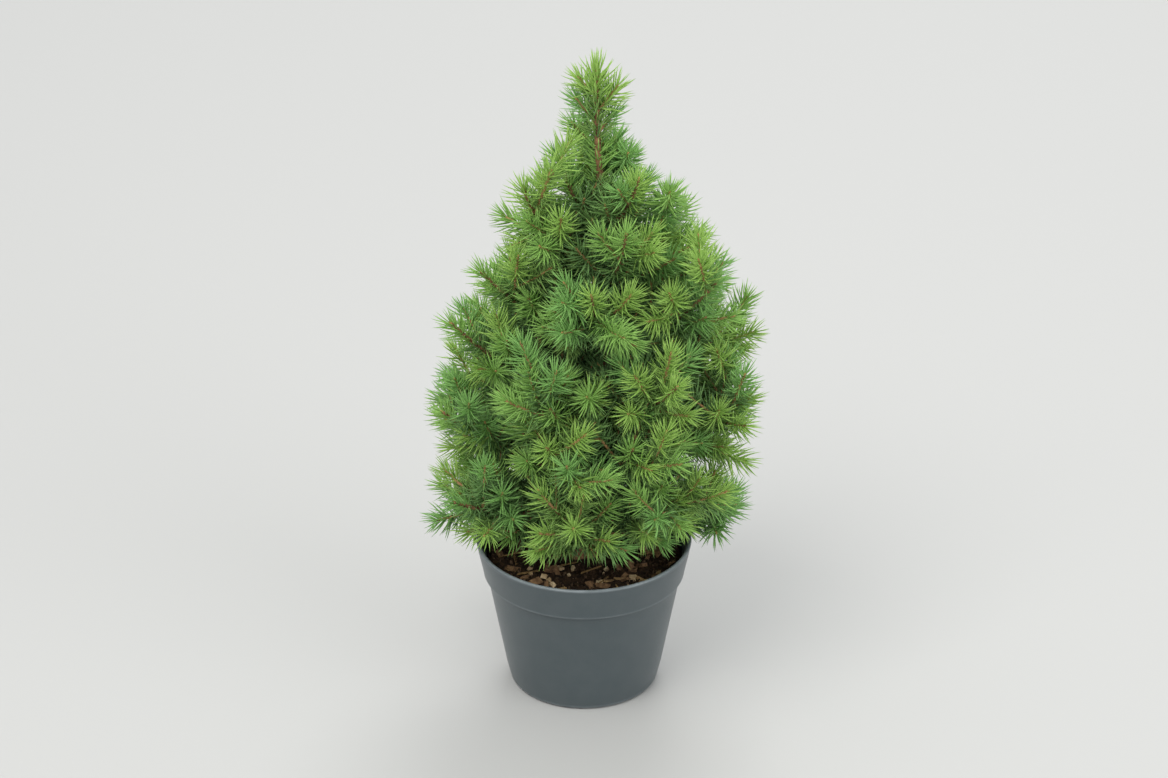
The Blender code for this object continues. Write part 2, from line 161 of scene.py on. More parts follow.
def add(tree, kind, *values, settings=None, **named):
    """A node by its type's name without the family. Values fill open inputs in order or by name."""
    names = [f"{family}Node{kind}" for family in FAMILIES[tree.bl_idname]]
    made = tree.nodes.new(next(name for name in names if hasattr(bpy.types, name)))
    for key, value in (settings or {}).items():
        setattr(made, key, value)
    row, column = divmod(len(tree.nodes), NODES_IN_ROW)
    made.location = (column * NODE_WIDTH, -row * NODE_HEIGHT)
    sockets = [s for s in made.inputs if s.enabled]
    by_name = {s.name.replace(" ", "_"): s for s in reversed(sockets)}
    filled = [*zip(sockets, values), *((by_name[key], value) for key, value in named.items())]
    for socket, value in filled:
        if isinstance(value, bpy.types.Node):
            value = out(value)
        if isinstance(value, bpy.types.NodeSocket):
            tree.links.new(value, socket)
        elif value is not None:
            socket.default_value = value
    return made


def out(node, name=None):
    """A node's output of that name, or its first open one."""
    return next(s for s in node.outputs if s.enabled and name in (None, s.name))


def maths(tree, operation, *values):
    return add(tree, "Math", *values, settings={"operation": operation})


def times(tree, a, b):
    return maths(tree, "MULTIPLY", a, b)


def vectors(tree, operation, *values, **named):
    return add(tree, "VectorMath", *values, settings={"operation": operation}, **named)


def booleans(tree, operation, *values):
    return add(tree, "BooleanMath", *values, settings={"operation": operation})


def use(tree, group, *values):
    """A node group, placed as one node."""
    return add(tree, "Group", *values, settings={"node_tree": group})


HELPERS = (add, out, maths, times, vectors, booleans, use)
print("node helpers:", ", ".join(helper.__name__ for helper in HELPERS))

# %% [markdown]
# ## Finishes
# Real surfaces are never one flat colour. Each material could carry noises of its own, but the same
# effects come back, so three of them are shader node groups with named inputs. `mottle` mixes two
# colours by a noise, `grain` gives a bump for relief too small for geometry, and the third
# pales a level band: wear from handling, and on a pot's lip also a painted highlight. They read
# Object coordinates in metres, so a pattern keeps its true size.

# %% Sockets and noise
NO_STRETCH = (1.0, 1.0, 1.0)
NUMBER_KINDS = {float: "Float", int: "Int", tuple: "Vector"}
SOCKET_KINDS = {**NUMBER_KINDS, str: "Color", bpy.types.Material: "Material"}


def group_sockets(group, inputs, outputs):
    """What a node tree is given, by name, and its end node. Each input has a first value."""
    for label, value in inputs.items():
        kind = next(kind for base, kind in SOCKET_KINDS.items() if isinstance(value, base))
        socket = group.interface.new_socket(label, in_out="INPUT", socket_type=f"NodeSocket{kind}")
        if not isinstance(value, str):
            socket.default_value = value
    for label, kind in outputs.items():
        group.interface.new_socket(label, in_out="OUTPUT", socket_type=f"NodeSocket{kind}")
    given = {s.name: s for s in group.nodes.new("NodeGroupInput").outputs}
    return given, group.nodes.new("NodeGroupOutput")


def stretched_noise(group, given, detail, roughness):
    """A noise in Object coordinates, by the group's own Scale and Stretch."""
    place = vectors(group, "MULTIPLY", out(add(group, "TexCoord"), "Object"), given["Stretch"])
    looks = {"Scale": given["Scale"], "Detail": detail, "Roughness": roughness}
    return out(add(group, "TexNoise", Vector=place, **looks), "Fac")


def blend(group, mask, end, *colours):
    """The group's Colour: the first colour where the mask is 0 and the second where it is 1."""
    mixed = add(group, "Mix", mask, *colours, settings={"data_type": "RGBA"})
    group.links.new(out(mixed), end.inputs["Colour"])
    return group


print("kinds of sockets:", ", ".join(SOCKET_KINDS.values()))

# %% Mottle and grain
NOISE_LOW = 0.3
NOISE_SPAN = 0.4
SOFT_EDGE = 0.2
HARD_EDGE = 0.01


def make_mottle():
    """Colour A and Colour B in patches of a noise. Contrast 0 gives soft clouds, 1 hard islands."""
    group = bpy.data.node_groups.new("mottle", "ShaderNodeTree")
    inputs = {"Colour A": "", "Colour B": "", "Scale": 200.0, "Amount B": 0.5, "Contrast": 0.4}
    given, end = group_sockets(group, {**inputs, "Stretch": NO_STRETCH}, {"Colour": "Color"})
    middle = maths(group, "SUBTRACT", 1.0, given["Amount B"])
    middle = maths(group, "MULTIPLY_ADD", middle, NOISE_SPAN, NOISE_LOW)
    width = maths(group, "MULTIPLY_ADD", given["Contrast"], HARD_EDGE - SOFT_EDGE, SOFT_EDGE)
    low, high = maths(group, "SUBTRACT", middle, width), maths(group, "ADD", middle, width)
    mask = add(group, "MapRange", stretched_noise(group, given, 3.0, 0.6), low, high, 0.0, 1.0)
    return blend(group, mask, end, given["Colour A"], given["Colour B"])


def make_grain():
    """A bump from a noise. Depth is in metres."""
    group = bpy.data.node_groups.new("grain", "ShaderNodeTree")
    inputs = {"Scale": 1000.0, "Depth": 0.0001, "Stretch": NO_STRETCH}
    given, end = group_sockets(group, inputs, {"Normal": "Vector"})
    fine = stretched_noise(group, given, 4.0, 0.65)
    bump = add(group, "Bump", Strength=1.0, Distance=given["Depth"], Height=fine)
    group.links.new(out(bump), end.inputs["Normal"])
    return group


MOTTLE = make_mottle()
GRAIN = make_grain()
print("shader groups:", MOTTLE.name, GRAIN.name)

# %% Wear and painted highlight
BREAKS = {"Scale": 160.0, "Detail": 4.0, "Roughness": 0.7}
BREAK_RANGE = (1.6, -0.1)


def make_wear_and_highlight():
    """A paler level band round Height, broken up by a noise: handling wear and painted highlight."""
    group = bpy.data.node_groups.new("edge_wear", "ShaderNodeTree")
    inputs = {"Colour": "", "Worn And Lit Colour": "", "Height": 0.06, "Width": 0.001, "Amount": 0.6}
    given, end = group_sockets(group, inputs, {"Colour": "Color"})
    place = out(add(group, "TexCoord"), "Object")
    height = out(add(group, "SeparateXYZ", place), "Z")
    away = maths(group, "ABSOLUTE", maths(group, "SUBTRACT", height, given["Height"]))
    band = add(group, "MapRange", away, 0.0, given["Width"], 1.0, 0.0)
    breaks = add(group, "TexNoise", Vector=place, **BREAKS)
    breaks = maths(group, "MULTIPLY_ADD", out(breaks, "Fac"), *BREAK_RANGE)
    mask = times(group, times(group, band, breaks), given["Amount"])
    mask = add(group, "Clamp", mask)
    return blend(group, mask, end, given["Colour"], given["Worn And Lit Colour"])


WEAR_AND_HIGHLIGHT_GROUP = make_wear_and_highlight()
print("shader group:", WEAR_AND_HIGHLIGHT_GROUP.name)

# %% A finish
# The paler colour of worn plastic, also used as a painted highlight on the lip and collar edge.
WORN_AND_LIT_COLOUR = "8d9599"


def rgb(hex_code):
    """A colour as it looks on a screen, turned into the linear values that the shader wants."""
    parts = [int(hex_code[k : k + 2], 16) / 255 for k in (0, 2, 4)]
    return (*[p / 12.92 if p <= 0.04045 else ((p + 0.055) / 1.055) ** 2.4 for p in parts], 1.0)


def finish(name, colours, roughness, mottle, grain=None, specular=0.5, worn_and_lit_bands=()):
    """A material of two mottled colours and a grain, paler in bands of wear and painted highlight.

    The mottle is its scale, the second colour's share, the contrast and perhaps the stretch.
    The grain is its scale, its depth and perhaps the stretch.
    """
    made = bpy.data.materials.new(name)
    made.use_nodes = True
    tree = made.node_tree
    shader = tree.nodes["Principled BSDF"]
    shader.inputs["Roughness"].default_value = roughness
    shader.inputs["Specular IOR Level"].default_value = specular
    colour = use(tree, MOTTLE, *map(rgb, colours), *mottle)
    # Each band is paler: wear from handling, and on the pot's lip and collar a painted highlight.
    for band in worn_and_lit_bands:
        colour = use(tree, WEAR_AND_HIGHLIGHT_GROUP, colour, rgb(WORN_AND_LIT_COLOUR), *band)
    tree.links.new(out(colour), shader.inputs["Base Color"])
    if grain:
        tree.links.new(out(use(tree, GRAIN, *grain)), shader.inputs["Normal"])
    return made


print("half grey on a screen is", round(rgb("808080")[0], 3), "in linear light")

# %% [markdown]
# ## The pot
# A nursery pot is pressed from thin sheet: a tapered cup with a stepped collar that keeps stacked
# pots from jamming, and a lip rolled so that it doesn't cut. It could be a cylinder with extruded
# rings, but a turned profile gives all of that at once, from a short list of sizes. The main sizes
# are the CAD model's, and the profile only adds what is too fine for that: soft edges, the groove
# under the collar and the raised middle of the base.

# %% Pot sizes
POT_HEIGHT = 0.060
POT_RIM_RADIUS = 0.041
POT_FOOT_RADIUS = 0.0285
POT_WALL = 0.0011
COLLAR_STEP = 0.0013


def pot_outer_radius(z):
    top = POT_RIM_RADIUS - COLLAR_STEP
    return POT_FOOT_RADIUS + (top - POT_FOOT_RADIUS) * z / POT_HEIGHT


def pot_inner_radius(z):
    return pot_outer_radius(z) - POT_WALL


print("the pot is about", round(2000 * pot_inner_radius(POT_HEIGHT)), "mm wide inside, under its lip")

# %% Pot profile
HAIR = 0.0001
COLLAR_HEIGHT = 0.014
COLLAR_ROUND = 0.00035
RIM_ROUND = 0.0008
LIP_INSET = 0.0003
FOOT_ROUND = 0.0020
INNER_FOOT = 0.003
BASE_RISE = 0.0006
BASE_MIDDLE = 0.012
STAND_RING = 0.0032


def arc(radius, z, size, first, last, steps):
    """Points of a profile on a circle of this size round (radius, z), from one angle to another."""
    angles = [math.radians(first + (last - first) * k / steps) for k in range(steps + 1)]
    return [(radius + size * math.cos(a), z + size * math.sin(a)) for a in angles]


def straight(start, end, steps):
    """Points between two places of a profile, without the ends."""
    return [tuple(a + (b - a) * k / steps for a, b in zip(start, end)) for k in range(1, steps)]


def pot_profile():
    collar = POT_HEIGHT - COLLAR_HEIGHT
    step = pot_outer_radius(collar)
    lip = RIM_ROUND
    ring = POT_FOOT_RADIUS - STAND_RING
    points = [(0, BASE_RISE), (BASE_MIDDLE, BASE_RISE), (ring - 0.0015, BASE_RISE)]
    points += [(ring - 0.0005, HAIR), (ring, 0)]
    points += arc(POT_FOOT_RADIUS - FOOT_ROUND, FOOT_ROUND, FOOT_ROUND, -90, -8, 6)
    points += straight((pot_outer_radius(FOOT_ROUND), FOOT_ROUND), (step, collar), 8)
    points += [(step, collar - 0.0003), (step + HAIR, collar)]
    points += arc(step + COLLAR_STEP - COLLAR_ROUND, collar + 0.0004, COLLAR_ROUND, -80, 0, 4)
    under_lip = POT_RIM_RADIUS - LIP_INSET
    points += straight((step + COLLAR_STEP, collar + 0.0008), (under_lip, POT_HEIGHT - 3 * lip), 5)
    points.append((under_lip, POT_HEIGHT - 2.4 * lip))
    points.append((POT_RIM_RADIUS - 0.00025, POT_HEIGHT - 2 * lip))
    points += arc(POT_RIM_RADIUS - lip, POT_HEIGHT - lip, lip, -40, 150, 9)
    points.append((pot_inner_radius(POT_HEIGHT) + HAIR, POT_HEIGHT - 2.2 * lip))
    inner_foot = (pot_inner_radius(INNER_FOOT), INNER_FOOT)
    points += straight((pot_inner_radius(POT_HEIGHT), POT_HEIGHT), inner_foot, 8)
    bottom = POT_WALL + BASE_RISE
    points += [inner_foot, (pot_inner_radius(POT_WALL) - FOOT_ROUND, bottom)]
    return points + [(BASE_MIDDLE, bottom), (0, bottom)]


print(len(pot_profile()), "points in the profile")

# %% Turned meshes
POT_SIDES = 144


def bridge(made, rings, sides):
    """Faces between each ring of vertices and the next. A ring may be one point."""
    for low, high in zip(rings, rings[1:]):
        for k in range(sides):
            n = (k + 1) % sides
            corners = [low[j % len(low)] for j in (k, n)] + [high[j % len(high)] for j in (n, k)]
            made.faces.new(list(dict.fromkeys(corners)))


def as_mesh(name, made):
    """The bmesh as a mesh. The bmesh is freed."""
    mesh = bpy.data.meshes.new(name)
    made.to_mesh(mesh)
    made.free()
    return mesh


def turned(name, profile, sides, relief=None):
    """A profile of (radius, z), from the axis below to the axis above, turned about Z."""
    made = bmesh.new()
    rings = []
    for radius, z in profile:
        count = 1 if radius == 0 else sides
        ring = []
        for k in range(count):
            angle = math.tau * k / sides
            point = Vector((radius * math.cos(angle), radius * math.sin(angle), z))
            ring.append(made.verts.new(relief(point) if relief else point))
        rings.append(ring)
    bridge(made, rings, sides)
    return as_mesh(name, made)


pot_blank = link("pot_blank", turned("pot_blank", pot_profile(), POT_SIDES))
print("pot blank:", len(pot_blank.data.polygons), "faces")

# %% [markdown]
# ## Geometry Nodes: what repeats
# The drainage holes are the first thing that repeats. They could be cut by hand, one drill at a
# time. Here they are a small Geometry Nodes tree that takes their number and sizes as inputs: a
# ring of points, a drill on every point, and one Boolean that takes all drills away. Its helpers
# serve every later tree. `geometry_tree` starts a tree with named inputs, `close_tree` ends it with
# real, painted geometry, and `grow` runs a tree on an object and keeps the result as a plain mesh.

# %% Geometry Nodes helpers
def geometry_tree(name, inputs):
    """A Geometry Nodes tree, what it is given, by name, and its end node."""
    tree = bpy.data.node_groups.new(name, "GeometryNodeTree")
    tree.interface.new_socket("Geometry", in_out="INPUT", socket_type="NodeSocketGeometry")
    return tree, *group_sockets(tree, inputs, {"Geometry": "Geometry"})


def close_tree(tree, given, end, geometry, smooth=True):
    """The end of every tree: real geometry, shaded smooth where asked, in the tree's material."""
    geometry = add(tree, "RealizeInstances", geometry)
    if smooth:
        geometry = add(tree, "SetShadeSmooth", geometry)
    painted = add(tree, "SetMaterial", geometry, None, given["Material"])
    tree.links.new(out(painted), end.inputs[0])
    return tree


def with_count(piece):
    """The piece, once its triangles are counted and printed."""
    piece.data.calc_loop_triangles()
    print(piece.name, len(piece.data.loop_triangles), "triangles")
    return piece


def grow(name, base, tree, values):
    """The tree's result on the base object as a new plain object. The base is removed."""
    modifier = base.modifiers.new("grow", "NODES")
    modifier.node_group = tree
    for item in tree.interface.items_tree:
        if item.in_out == "INPUT" and item.name in values:
            modifier[item.identifier] = values[item.name]
    graph = bpy.context.evaluated_depsgraph_get()
    mesh = bpy.data.meshes.new_from_object(base.evaluated_get(graph))
    mesh.name = name
    bpy.data.objects.remove(base, do_unlink=True)
    return with_count(link(name, mesh))


TREE_HELPERS = (geometry_tree, close_tree, with_count, grow)
print("tree helpers:", ", ".join(helper.__name__ for helper in TREE_HELPERS))

# %% Pot with its holes
DRILL_SIDES = 24
DRILL_DEPTH = 0.012
SHARP_ANGLE = math.radians(38)

# Paler bands on lip, collar and foot: handling wear, and on lip and collar also a painted
# highlight. Each is the band's height, width and amount.
WEAR_AND_HIGHLIGHT_BANDS = (
    (POT_HEIGHT, 0.0011, 0.9),
    (POT_HEIGHT - COLLAR_HEIGHT + 0.0006, 0.0006, 0.3),
    (0.0008, 0.0014, 0.5),
)
PLASTIC = ("4b5457", "465053")
pot_plastic = finish("pot_plastic", PLASTIC, 0.33, (140.0, 0.5, 0.0), (2600.0, 0.00004), worn_and_lit_bands=WEAR_AND_HIGHLIGHT_BANDS)
DRAIN = {"Holes": 8, "Hole Radius": 0.0030, "Circle": 0.0210, "Material": pot_plastic}


def make_drill_tree():
    tree, given, end = geometry_tree("drain_holes", DRAIN)
    ring = add(tree, "MeshCircle", given["Holes"], given["Circle"])
    size = {"Radius": given["Hole Radius"], "Depth": DRILL_DEPTH}
    drill = add(tree, "MeshCylinder", DRILL_SIDES, **size)
    drills = add(tree, "InstanceOnPoints", Points=ring, Instance=out(drill, "Mesh"))
    solid_drills = add(tree, "RealizeInstances", drills)
    turn = add(tree, "Transform", solid_drills, Rotation=(0, 0, math.pi / DRAIN["Holes"]))
    away = {"operation": "DIFFERENCE"}
    cut = add(tree, "MeshBoolean", given["Geometry"], turn, settings=away)
    return close_tree(tree, given, end, out(cut, "Mesh"), smooth=False)


pot = grow("nursery_pot", pot_blank, make_drill_tree(), DRAIN)
pot.data.shade_smooth()
pot.data.set_sharp_from_angle(angle=SHARP_ANGLE)

# %% [markdown]
# ## The soil
# Potting mix is peat with bark chips, pale bits and the odd dropped needle. A bump could fake its
# surface, but the outline of its crumbs shows at the rim. So the root ball is a turned mesh again,
# whose top follows the CAD model's low waves and has the crumbly relief of peat as true shape.

# %% Root ball
GAP = 0.0003
SOIL_TOP = 0.053
SOIL_BUMP = 0.0014
SOIL_SEAT = 0.007
SOIL_WAVES = (170, 150, 260)
WAVES_BEGIN = 0.01
# How fine the noise is and how high it stands.
LUMPS = (260, 0.0009)
CRUMBS = (900, 0.0006)
SOIL_SIDES = 150
SOIL_RINGS = 42


def soil_height(x, y):
    along_x, along_y, across = SOIL_WAVES
    away = min(1.0, max(0.0, math.hypot(x, y) - SOIL_SEAT) / WAVES_BEGIN)
    long_wave = math.sin(along_x * x + 1.3) * math.cos(along_y * y - 0.4)
    wave = long_wave + 0.6 * math.sin(across * (x - y))
    return SOIL_TOP + SOIL_BUMP * away * (wave / 1.6 - 0.4)


def crumbly(point):
    """Moves a point of the top to the soil's waves, with lumps and crumbs on them."""
    if point.z < SOIL_TOP - HAIR:
        return point
    lumps = noise.noise(point * LUMPS[0]) * LUMPS[1]
    crumbs = noise.noise(point * CRUMBS[0] + Vector((7, 3, 1))) * CRUMBS[1]
    point.z = soil_height(point.x, point.y) + lumps + crumbs
    return point


def soil_profile():
    low = POT_WALL + BASE_RISE + GAP
    edge = pot_inner_radius(SOIL_TOP) - 2 * GAP
    side = pot_inner_radius(low + FOOT_ROUND) - 2 * GAP
    points = [(0, low), (side - 1.5 * FOOT_ROUND, low), (side, low + FOOT_ROUND)]
    points.append((edge - HAIR, SOIL_TOP - 0.002))
    points += [(edge * (1 - k / SOIL_RINGS), SOIL_TOP) for k in range(SOIL_RINGS)]
    points.append((0, SOIL_TOP))
    return points


PEAT = ("42301f", "261b12")
SOIL_MOTTLE = (420.0, 0.5, 0.5)
potting_soil = finish("potting_soil", PEAT, 0.95, SOIL_MOTTLE, (2600.0, 0.0005), specular=0.25)
soil = link("root_ball", turned("root_ball", soil_profile(), SOIL_SIDES, crumbly))
soil.data.materials.append(potting_soil)
soil.data.shade_smooth()
print("root ball:", len(soil.data.polygons), "faces")

# %% [markdown]
# ## Loose bits on the soil
# The loose bits of a potting mix are what the eye finds first at the rim. Each kind could be
# modelled and strewn by itself, but they differ only in colour, size, shape and number. So there is
# one tree for the round kinds and one for the blocky ones, and both are made by the same code. A
# round lump or a box is pushed out of shape by noise in three ways, and each point picks one of the
# three, its size and its turn at random from a fixed seed. Flat bits lie almost level. Points too
# near the trunk or the pot's wall are dropped, so no bit pokes through the plastic.

# %% Tree for the bits
TRUNK_CLEAR = 0.009
TOP_DEPTH = 0.005
LUMP_KINDS = 3
LUMP_NOISE = 1.3
LUMP_APART = 3.7
LUMP_PUSH = 1.1


def chance(tree, low, high, seed, kind="FLOAT"):
    return add(tree, "RandomValue", low, high, Seed=seed, settings={"data_type": kind})


def away_and_height(tree, point):
    """How far a point is from the pot's axis, measured level, and how high it is."""
    flat = vectors(tree, "MULTIPLY", point, (1, 1, 0))
    return out(vectors(tree, "LENGTH", flat), "Value"), out(add(tree, "SeparateXYZ", point), "Z")


def make_scatter_tree(blocky, inputs):
    tree, given, end = geometry_tree("blocky_bits" if blocky else "round_bits", inputs)
    position = add(tree, "InputPosition")
    away, height = away_and_height(tree, position)
    within = maths(tree, "LESS_THAN", away, given["Outer Radius"])
    beyond = maths(tree, "GREATER_THAN", away, TRUNK_CLEAR)
    on_top = maths(tree, "GREATER_THAN", height, SOIL_TOP - TOP_DEPTH)
    here = times(tree, times(tree, within, beyond), on_top)
    points = add(
        tree,
        "DistributePointsOnFaces",
        Mesh=given["Geometry"],
        Selection=here,
        Density=given["Density"],
        Seed=given["Seed"],
    )
    bits = []
    for k in range(LUMP_KINDS):
        if blocky:
            lump = add(tree, "MeshCube", (1, 1, 1), 3, 2, 2)
        else:
            lump = add(tree, "MeshIcoSphere", 0.5, 1)
        push = {"Vector": position, "W": LUMP_APART * k, "Scale": LUMP_NOISE}
        push = add(tree, "TexNoise", settings={"noise_dimensions": "4D"}, **push)
        push = vectors(tree, "SUBTRACT", out(push, "Color"), (0.5, 0.5, 0.5))
        push = vectors(tree, "SCALE", push, Scale=LUMP_PUSH)
        bent = add(tree, "SetPosition", Geometry=out(lump, "Mesh"), Offset=push)
        bits.append(add(tree, "Transform", bent, Scale=given["Shape"]))
    choice = add(tree, "GeometryToInstance")
    for bit in bits:
        tree.links.new(out(bit), choice.inputs[0])
    low = times(tree, given["Tilt"], -1.0)
    lean = [chance(tree, low, given["Tilt"], seed) for seed in (1, 2)]
    spin = chance(tree, 0.0, math.tau, 3)
    turn = add(tree, "EulerToRotation", add(tree, "CombineXYZ", *lean, spin))
    drop = add(tree, "CombineXYZ", 0.0, 0.0, times(tree, given["Sink"], -1.0))
    lowered = add(tree, "SetPosition", Geometry=out(points, "Points"), Offset=drop)
    placed = add(
        tree,
        "InstanceOnPoints",
        Points=lowered,
        Instance=choice,
        Pick_Instance=True,
        Instance_Index=chance(tree, 0, LUMP_KINDS - 1, 5, "INT"),
        Rotation=turn,
        Scale=chance(tree, given["Smallest"], given["Largest"], 4),
    )
    return close_tree(tree, given, end, placed, smooth=False)


print("each bit has one of", LUMP_KINDS, "shapes")

# %% Crumbs, chips, splinters and pale bits
Bit = namedtuple("Bit", "name blocky colours density sizes shape tilt sink seed")
BROWN = ("65503c", "3a2c1f")
CHIP = ("8b6c4c", "553e2a")
WOOD = ("a98a5f", "735a3a")
PALE = ("cdb894", "a0855f")
DRIED = ("91754a", "66502f")
CRUMB = (1.0, 0.85, 0.7)
FLAT_CRUMB = (1.0, 0.8, 0.6)
SLAB = (1.0, 0.6, 0.28)
SPLINTER = (1.0, 0.26, 0.13)
GRIT = (1.0, 0.75, 0.5)
STICK = (1.0, 0.07, 0.06)
# Bits without colours of their own have the soil's finish.
BITS = (
    Bit("peat_crumbs", False, None, 190000, (0.0008, 0.0024), CRUMB, 3.0, 0.0001, 3),
    Bit("brown_crumbs", False, BROWN, 110000, (0.0005, 0.0017), FLAT_CRUMB, 3.0, -0.0003, 5),
    Bit("bark_chips", True, CHIP, 12000, (0.0018, 0.0054), SLAB, 0.6, -0.0005, 11),
    Bit("wood_splinters", True, WOOD, 3200, (0.0030, 0.0075), SPLINTER, 0.3, -0.0006, 17),
    Bit("pale_bits", True, PALE, 5200, (0.0010, 0.0034), GRIT, 1.2, -0.0004, 23),
    Bit("dropped_needles", True, DRIED, 8000, (0.0065, 0.0092), STICK, 0.25, -0.0008, 29),
)
print(len(BITS), "kinds of bits")

# %% Scattering
OUTER = pot_inner_radius(SOIL_TOP) - 0.0016
BIT_MOTTLE = (380.0, 0.5, 0.3)
BIT_GRAIN = (2000.0, 0.0002)
SCATTER_TREES = {}


def scatter(bit):
    """Bits of one kind on the soil, as one mesh. Round and blocky bits have one tree each."""
    surface = potting_soil
    if bit.colours:
        surface = finish(bit.name, bit.colours, 0.85, BIT_MOTTLE, BIT_GRAIN, specular=0.3)
    smallest, largest = bit.sizes
    values = {
        "Density": float(bit.density),
        "Smallest": smallest,
        "Largest": largest,
        "Shape": bit.shape,
        "Tilt": bit.tilt,
        "Sink": bit.sink,
        "Outer Radius": OUTER - largest / 4,
        "Seed": bit.seed,
        "Material": surface,
    }
    if bit.blocky not in SCATTER_TREES:
        SCATTER_TREES[bit.blocky] = make_scatter_tree(bit.blocky, values)
    base = link("scatter_base", soil.data.copy())
    return grow(bit.name, base, SCATTER_TREES[bit.blocky], values)


soil_bits = [scatter(bit) for bit in BITS]

# %% [markdown]
# ## The trunk
# The trunk leans and sways a little, and spreads into three root lobes where it meets the soil.
# Spruce bark at this age is a mix of thin flakes and of small pegs where needles once sat. A curve
# with a bevel would give a smooth pipe, so the trunk is built ring by ring. Its line, its taper and
# its lobes are the CAD model's, and two noises push the rings in and out, one drawn out along the
# trunk and one round.

# %% Trunk rule
TRUNK_LENGTH = 0.171
TRUNK_FOOT_RADIUS = 0.0034
TRUNK_TIP_RADIUS = 0.0011
FLARE_RADIUS = 0.0026
FLARE_HEIGHT = 0.009
TRUNK_LEAN = 0.0035
TRUNK_BOW = 0.0055
BOW_SPAN = 0.92
TRUNK_SWAY = 0.0018
SWAY_TURNS = 1.7
TAPER_POWER = 0.8
LOBE_DEPTH = 0.16
RIPPLE_DEPTH = 0.03


def trunk_point(height):
    t = height / TRUNK_LENGTH
    x = TRUNK_LEAN * t + TRUNK_BOW * math.sin(math.pi * BOW_SPAN * t)
    y = TRUNK_SWAY * math.sin(SWAY_TURNS * math.pi * t)
    return Vector((x, y, SOIL_TOP + GAP + height))


def trunk_radius(height):
    t = min(max(height / TRUNK_LENGTH, 0), 1)
    body = TRUNK_FOOT_RADIUS + (TRUNK_TIP_RADIUS - TRUNK_FOOT_RADIUS) * t**TAPER_POWER
    return body + FLARE_RADIUS * math.exp(-2 * (height / FLARE_HEIGHT) ** 2)


def trunk_lobe(height, angle):
    flare = math.exp(-height / FLARE_HEIGHT)
    lobes = LOBE_DEPTH * flare * math.cos(3 * angle + 0.6)
    return 1 + lobes + RIPPLE_DEPTH * math.sin(5 * angle + 40 * height)


thick = [round(2000 * trunk_radius(height), 1) for height in (0, TRUNK_LENGTH)]
print("the trunk is", thick[0], "mm thick at its foot and", thick[1], "at its tip")

# %% Bark on a rod
FLAKE_SCALE = Vector((900, 900, 260))
FLAKE_DEPTH = 0.10
PEG_SCALE = 1500
PEG_DEPTH = 0.07
UP = Vector((0, 0, 1))
NEARLY_UP = 0.05


def bark_relief(point, radius):
    """How far the bark stands out of or into a stem of this radius, at this point."""
    flakes = noise.noise(point * FLAKE_SCALE)
    pegs = noise.noise(point * PEG_SCALE + Vector((3, 8, 5)))
    return radius * (FLAKE_DEPTH * flakes + PEG_DEPTH * max(pegs, 0))


def frame_of(direction):
    """Two unit vectors square to direction. The first is level and points to its left."""
    side = UP.cross(direction)
    if side.length < NEARLY_UP:
        side = Vector((1, 0, 0))
    side.normalize()
    return side, direction.cross(side).normalized()


def rod(made, middles, forwards, radius_at, sides):
    """A closed rod of bark in the bmesh: one ring round each middle, square to its direction."""
    rings = []
    for k, (middle, forward) in enumerate(zip(middles, forwards)):
        side, over = frame_of(forward)
        ring = []
        for s in range(sides):
            angle = math.tau * s / sides
            spoke = side * math.cos(angle) + over * math.sin(angle)
            radius = radius_at(k, angle)
            radius += bark_relief(middle + spoke * radius, radius)
            ring.append(made.verts.new(middle + spoke * radius))
        rings.append(ring)
    bridge(made, rings, sides)
    made.faces.new(list(reversed(rings[0])))
    made.faces.new(rings[-1])


def bark_piece(name, made, surface):
    """The bmesh as a smooth piece with this finish."""
    mesh = as_mesh(name, made)
    mesh.materials.append(surface)
    mesh.shade_smooth()
    return with_count(link(name, mesh))


print("relief: up to", round(100 * (FLAKE_DEPTH + PEG_DEPTH)), "percent of a stem's radius")

# %% Trunk mesh
TRUNK_RINGS = 240
TRUNK_SIDES = 36
RING_SHARES = (0.55, 0.45)

BARK = ("96704f", "684a34")
TRUNK_MOTTLE = (520.0, 0.5, 0.4, (1.0, 1.0, 0.35))
TRUNK_GRAIN = (2400.0, 0.0002, (1.0, 1.0, 0.4))
trunk_bark = finish("trunk_bark", BARK, 0.85, TRUNK_MOTTLE, TRUNK_GRAIN, specular=0.3)


def make_trunk():
    """Level rings, so the foot is a flat cut on the soil."""
    made = bmesh.new()
    heights = [TRUNK_LENGTH * k / (TRUNK_RINGS - 1) for k in range(TRUNK_RINGS)]
    near, far = RING_SHARES
    heights = [h * (near + far * h / TRUNK_LENGTH) for h in heights]
    rod(
        made,
        [trunk_point(h) for h in heights],
        [UP] * TRUNK_RINGS,
        lambda k, angle: trunk_radius(heights[k]) * trunk_lobe(heights[k], angle),
        TRUNK_SIDES,
    )
    return bark_piece("trunk_with_bark", made, trunk_bark)


trunk = make_trunk()

# %% [markdown]
# ## The limbs
# The CAD model grows its limbs by a rule: six tiers up the trunk, each with its own number of
# limbs, slope and length, and a seeded draw that keeps them from being twins. Their lines could be
# measured off its solids, but the rule is short. It is written again here with the same seed and
# the same order of draws, so every limb comes out where its CAD node is.

# %% Limb rule
Tier = namedtuple("Tier", "name height count heading rise tip_rise lift thick bough stem")
TIERS = (
    Tier("low", 0.014, 7, 12, 0, 14, 24, 0.0017, 0.015, 0.044),
    Tier("waist", 0.035, 7, 38, 15, 40, 8, 0.0016, 0.015, 0.052),
    Tier("middle", 0.060, 6, 5, 22, 50, 0, 0.0014, 0.013, 0.053),
    Tier("upper", 0.087, 5, 40, 28, 56, 0, 0.0010, 0.0, 0.060),
    Tier("shoulder", 0.115, 4, 20, 38, 68, 0, 0.0010, 0.0, 0.051),
    Tier("top", 0.140, 3, 75, 46, 74, 0, 0.0009, 0.0, 0.036),
)
Limb = namedtuple("Limb", "name root heading rise bend thick bough length")


